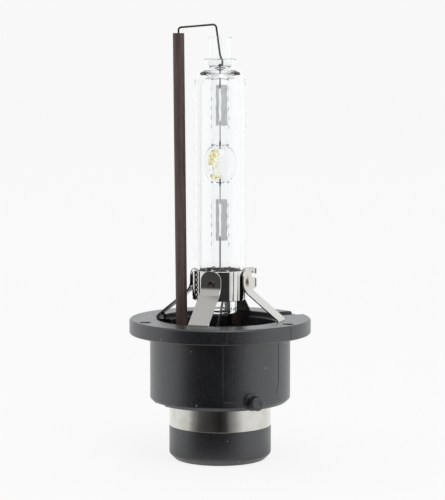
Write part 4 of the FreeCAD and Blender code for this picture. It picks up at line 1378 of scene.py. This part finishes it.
@dataclass
class ReturnConductor:
    """The return conductor: a ceramic tube leaning beside the bulb, and the wire through it."""

    tube_radius: float = 0.99
    bore_radius: float = 0.4
    foot_offset: float = 6.68
    top_offset: float = 7.23
    low: float = 13.45
    high: float = 74.5
    wire_radius: float = 0.17
    wire_foot: float = 13.6
    beside: float = 0.41
    bridge: float = 75.45
    bridge_end: tuple[float, float] = (0.72, 76.0)
    knot_radius: float = 0.36

    def offset(self, heights: np.ndarray) -> np.ndarray:
        """Returns how far the tube's axis lies from the lamp's axis at each height."""
        lean = (self.top_offset - self.foot_offset) / (self.high - self.low)
        return self.foot_offset + lean * (heights - self.low)

    def make(self) -> None:
        """Makes the tube, whose rings lean, and the wire, which bends over its top to the arc tube."""
        section = resampled_closed(rounded([
            (self.bore_radius, self.low + 0.05, 0), (self.tube_radius, self.low + 0.05, 0.05),
            (self.tube_radius, self.high, 0.08), (self.bore_radius, self.high, 0.04)],
            closed=True, steps=3), 4.0)
        rows = revolved(section, 64)
        rows[..., 0] += self.offset(rows[..., 2])
        rows = turned(rows, RETURN_AZIMUTH)
        add_surface("ceramic_tube_sleeve", rows, Closing.RING, Finish.CERAMIC, "ceramic_tube")
        path = smooth_path([
            (self.offset(self.wire_foot), self.wire_foot, 0), (self.offset(self.bridge), self.bridge, 0.5),
            (*self.bridge_end, 0.6), (0.0, LEAD_TOP + 1.5, 0.8), (-self.beside, LEAD_TOP + 0.4, 0.5),
            (-self.beside, LEAD_TOP - 0.5, 0)], 0.2)
        share = np.linspace(-1, 1, 12)
        knot = upright(LEAD_TOP - 0.5 - 0.5 * share) + share[:, None] * np.array([0.12, 0.0, 0.0])
        swell = self.knot_radius * np.sqrt(1 - (0.98 * share) ** 2)
        knot = turned(tube_along(knot, swell), RETURN_AZIMUTH)
        add_surface("return_wire_weld", knot, Closing.TUBE, Finish.WIRE)
        wire = turned(tube_along(path, self.wire_radius), RETURN_AZIMUTH)
        add_surface("return_wire_run", wire, Closing.TUBE, Finish.WIRE, "return_wire")
        log.info("return conductor: ceramic tube and wire")


# the stage

@dataclass
class Studio:
    """The pale stage: white all round and behind, dark where the camera stands, lit from above the front."""

    background: str = "#F8F8F8"
    through_glass: float = 0.985
    through_share: float = 0.82
    overhead: float = 0.72
    overhead_rise: tuple[float, float] = (0.38, 0.72)
    # Painted shadow under the lamp, seen in reflections and through glass: its grey, and the radii over which
    # it fades out.
    painted_shadow_grey: float = 0.7
    painted_shadow_reach: tuple[float, float] = (12.0, 24.0)
    floor_lift: float = 0.04
    floor_half: float = 2000.0
    shadow_share: float = 0.14
    camera_distance: float = 375.0
    camera_elevation: float = 5.9
    aim: tuple[float, float, float] = (0.42, 0.0, 36.77)
    lens: float = 154.5
    lamp_place: tuple[float, float, float] = (0.12, -0.42, 0.62)
    lamp_aim: tuple[float, float, float] = (0.0, 0.0, 0.035)
    lamp_size: float = 0.5
    lamp_power: float = 1.6
    tone: tuple[float, float, float] = (0.985, 0.995, 1.0)
    surroundings: tuple[tuple[float, float], ...] = (
        (-180, 1.09), (-95, 0.94), (-70, 0.8), (-58, 0.32), (-44, 0.1), (-30, 0.06), (0, 0.02), (12, 0.05),
        (30, 0.38), (48, 0.86), (60, 0.96), (100, 0.97), (180, 1.09))

    def around(self, tree: bpy.types.NodeTree, place: bpy.types.NodeSocket) -> tuple:
        """Returns the light from each azimuth, as a ramp on the angle that a place has about the lamp's axis.

        Args:
            tree: The node tree that takes the ramp.
            place: The socket with the place or direction.

        Returns:
            The socket with the light, and the node that splits the place into its axes.
        """
        split = add_node(tree, "ShaderNodeSeparateXYZ", None, (place,))
        front = add_node(tree, MATH, TIMES, (split.outputs[1], -1.0)).outputs[0]
        azimuth = add_node(tree, MATH, {"operation": "ARCTAN2"}, (split.outputs[0], front)).outputs[0]
        turn = add_node(tree, MATH, TIMES_PLUS, (azimuth, 0.5 / math.pi, 0.5)).outputs[0]
        stops = [(angle / 360 + 0.5, tuple(level * share for share in self.tone) + (1.0,))
                 for angle, level in self.surroundings]
        return add_node(tree, "ShaderNodeValToRGB", None, (turn,), stops).outputs[0], split

    def seen(self, tree: bpy.types.NodeTree, path: bpy.types.Node, light: bpy.types.NodeSocket) -> tuple:
        """Returns the light as each ray sees it: plain for the camera, nearly so through glass.

        Args:
            tree: The node tree that takes the nodes.
            path: The Light Path node.
            light: The socket with the studio's light from that direction or place.

        Returns:
            The socket with the light.
        """
        passed = add_node(tree, MATH, {"operation": "MINIMUM"}, (
            path.outputs["Transmission Depth"], 1.0)).outputs[0]
        share = add_node(tree, MATH, TIMES, (passed, self.through_share)).outputs[0]
        washed = add_node(tree, "ShaderNodeMix", IN_COLOUR, {
            "Factor": share, "A": light, "B": grey(self.through_glass)}).outputs["Result"]
        return add_node(tree, "ShaderNodeMix", IN_COLOUR, {
            "Factor": path.outputs["Is Camera Ray"], "A": washed,
            "B": linear(self.background)}).outputs["Result"]

    def make_world(self) -> None:
        """Makes the world: the plain background for the camera, and the studio for everything else."""
        world = bpy.data.worlds.new("studio")
        bpy.context.scene.world = world
        world.use_nodes = True
        tree = world.node_tree
        light, split = self.around(tree, add_node(tree, "ShaderNodeTexCoord").outputs["Generated"])
        height = add_node(tree, "ShaderNodeMapRange", {"interpolation_type": "SMOOTHSTEP"}, {
            "Value": split.outputs[2], "From Min": self.overhead_rise[0],
            "From Max": self.overhead_rise[1]}).outputs[0]
        upper = add_node(tree, "ShaderNodeMix", IN_COLOUR, {
            "Factor": height, "A": light, "B": grey(self.overhead)}).outputs["Result"]
        colour = self.seen(tree, add_node(tree, "ShaderNodeLightPath"), upper)
        tree.links.new(colour, tree.nodes["Background"].inputs["Color"])

    def make_floor(self) -> None:
        """Makes the floor: white with a faint shadow to the camera, and the studio's light to metal, with a
        painted shadow round the lamp's foot.
        """
        half = self.floor_half
        points = np.array([[-half, -half, 0], [half, -half, 0], [half, half, 0], [-half, half, 0]], float)
        mesh = bpy.data.meshes.new("floor")
        mesh.from_pydata((points * MM).tolist(), [], [[0, 1, 2, 3]])
        floor = bpy.data.objects.new("floor", mesh)
        bpy.context.scene.collection.objects.link(floor)
        mesh.materials.append(self.floor_material())

    def floor_material(self) -> bpy.types.Material:
        """Builds the floor's material: chalk white where the shadow falls, and the studio's light elsewhere,
        with a painted shadow of flat grey round the lamp's foot that glossy and transmission rays see.

        Returns:
            The material.
        """
        material, tree, shader, spot = start_material("white_floor")
        shader.inputs["Base Color"].default_value = linear(self.background)
        shader.inputs["Roughness"].default_value = 1.0
        shader.inputs["Specular IOR Level"].default_value = 0.0
        light, _ = self.around(tree, spot)
        # Painted shadow: within these radii of the lamp's axis, glossy and transmission rays find flat grey
        # on the floor in place of the studio's light.
        away = add_node(tree, "ShaderNodeVectorMath", {"operation": "LENGTH"}, (spot,)).outputs["Value"]
        near = add_node(tree, "ShaderNodeMapRange", inputs={
            "Value": away, "From Min": self.painted_shadow_reach[0] * MM, "From Max": self.painted_shadow_reach[1] * MM,
            "To Min": 1.0, "To Max": 0.0}).outputs[0]
        ring = add_node(tree, "ShaderNodeMix", IN_COLOUR, {
            "Factor": near, "A": light, "B": grey(self.painted_shadow_grey)}).outputs["Result"]
        path = add_node(tree, "ShaderNodeLightPath")
        camera = path.outputs["Is Camera Ray"]
        colour = self.seen(tree, path, ring)
        strength = add_node(tree, MATH, TIMES_PLUS, (camera, self.floor_lift, 1.0)).outputs[0]
        glow = add_node(tree, "ShaderNodeEmission", inputs={"Color": colour, "Strength": strength})
        mirrored = add_node(tree, MATH, {"operation": "MAXIMUM"}, (
            path.outputs["Is Glossy Ray"], path.outputs["Is Transmission Ray"])).outputs[0]
        direct = add_node(tree, MATH, TIMES, (camera, 1 - self.shadow_share)).outputs[0]
        share = add_node(tree, MATH, {"operation": "MAXIMUM"}, (mirrored, direct)).outputs[0]
        mixed = add_node(tree, "ShaderNodeMixShader", None, (share, shader.outputs[0], glow.outputs[0]))
        tree.links.new(mixed.outputs[0], tree.nodes["Material Output"].inputs["Surface"])
        return material

    def make_camera(self) -> None:
        """Makes the camera at the photograph's distance, height and angle of view."""
        data = bpy.data.cameras.new("camera")
        data.lens = self.lens
        data.sensor_width = 36.0
        data.clip_start = 0.01
        data.clip_end = 20.0
        camera = bpy.data.objects.new("camera", data)
        bpy.context.scene.collection.objects.link(camera)
        lift = math.radians(self.camera_elevation)
        offset = Vector((0.0, -math.cos(lift), math.sin(lift))) * self.camera_distance
        camera.location = (Vector(self.aim) + offset) * MM
        camera.rotation_euler = (math.radians(90 - self.camera_elevation), 0, 0)
        bpy.context.scene.camera = camera

    def make_lamp(self) -> None:
        """Hangs one soft lamp above the front."""
        data = bpy.data.lights.new("soft_lamp", "AREA")
        data.shape = "DISK"
        data.size = self.lamp_size
        data.energy = self.lamp_power
        lamp = bpy.data.objects.new("soft_lamp", data)
        bpy.context.scene.collection.objects.link(lamp)
        lamp.location = self.lamp_place
        way = Vector(self.lamp_aim) - lamp.location
        lamp.rotation_euler = way.to_track_quat("-Z", "Y").to_euler()

    def make(self) -> None:
        """Makes the whole stage."""
        bpy.context.scene.view_settings.view_transform = "Standard"
        self.make_world()
        self.make_floor()
        self.make_camera()
        self.make_lamp()
        log.info("studio: world, floor, camera and lamp")


def main() -> None:
    """Builds the stage and every sub-assembly."""
    logging.basicConfig(level=logging.INFO, format="%(name)s: %(message)s")
    Studio().make()
    BaseHousing().make()
    ContactRing().make()
    CentreContact().make()
    ClampBand().make()
    for name, turn, finish in (("front", 0, Finish.STRIP), ("right", 90, Finish.TINTED),
                               ("rear", 180, Finish.STRIP), ("left", 270, Finish.STRIP)):
        BentLeg(f"{name}_leg_strip", f"{name}_leg", FRONT_LEG_AZIMUTH + turn, finish).make()
    OuterBulb().make()
    ArcTube().make()
    SealedPieces().make()
    ReturnConductor().make()


if __name__ == "__main__":
    main()
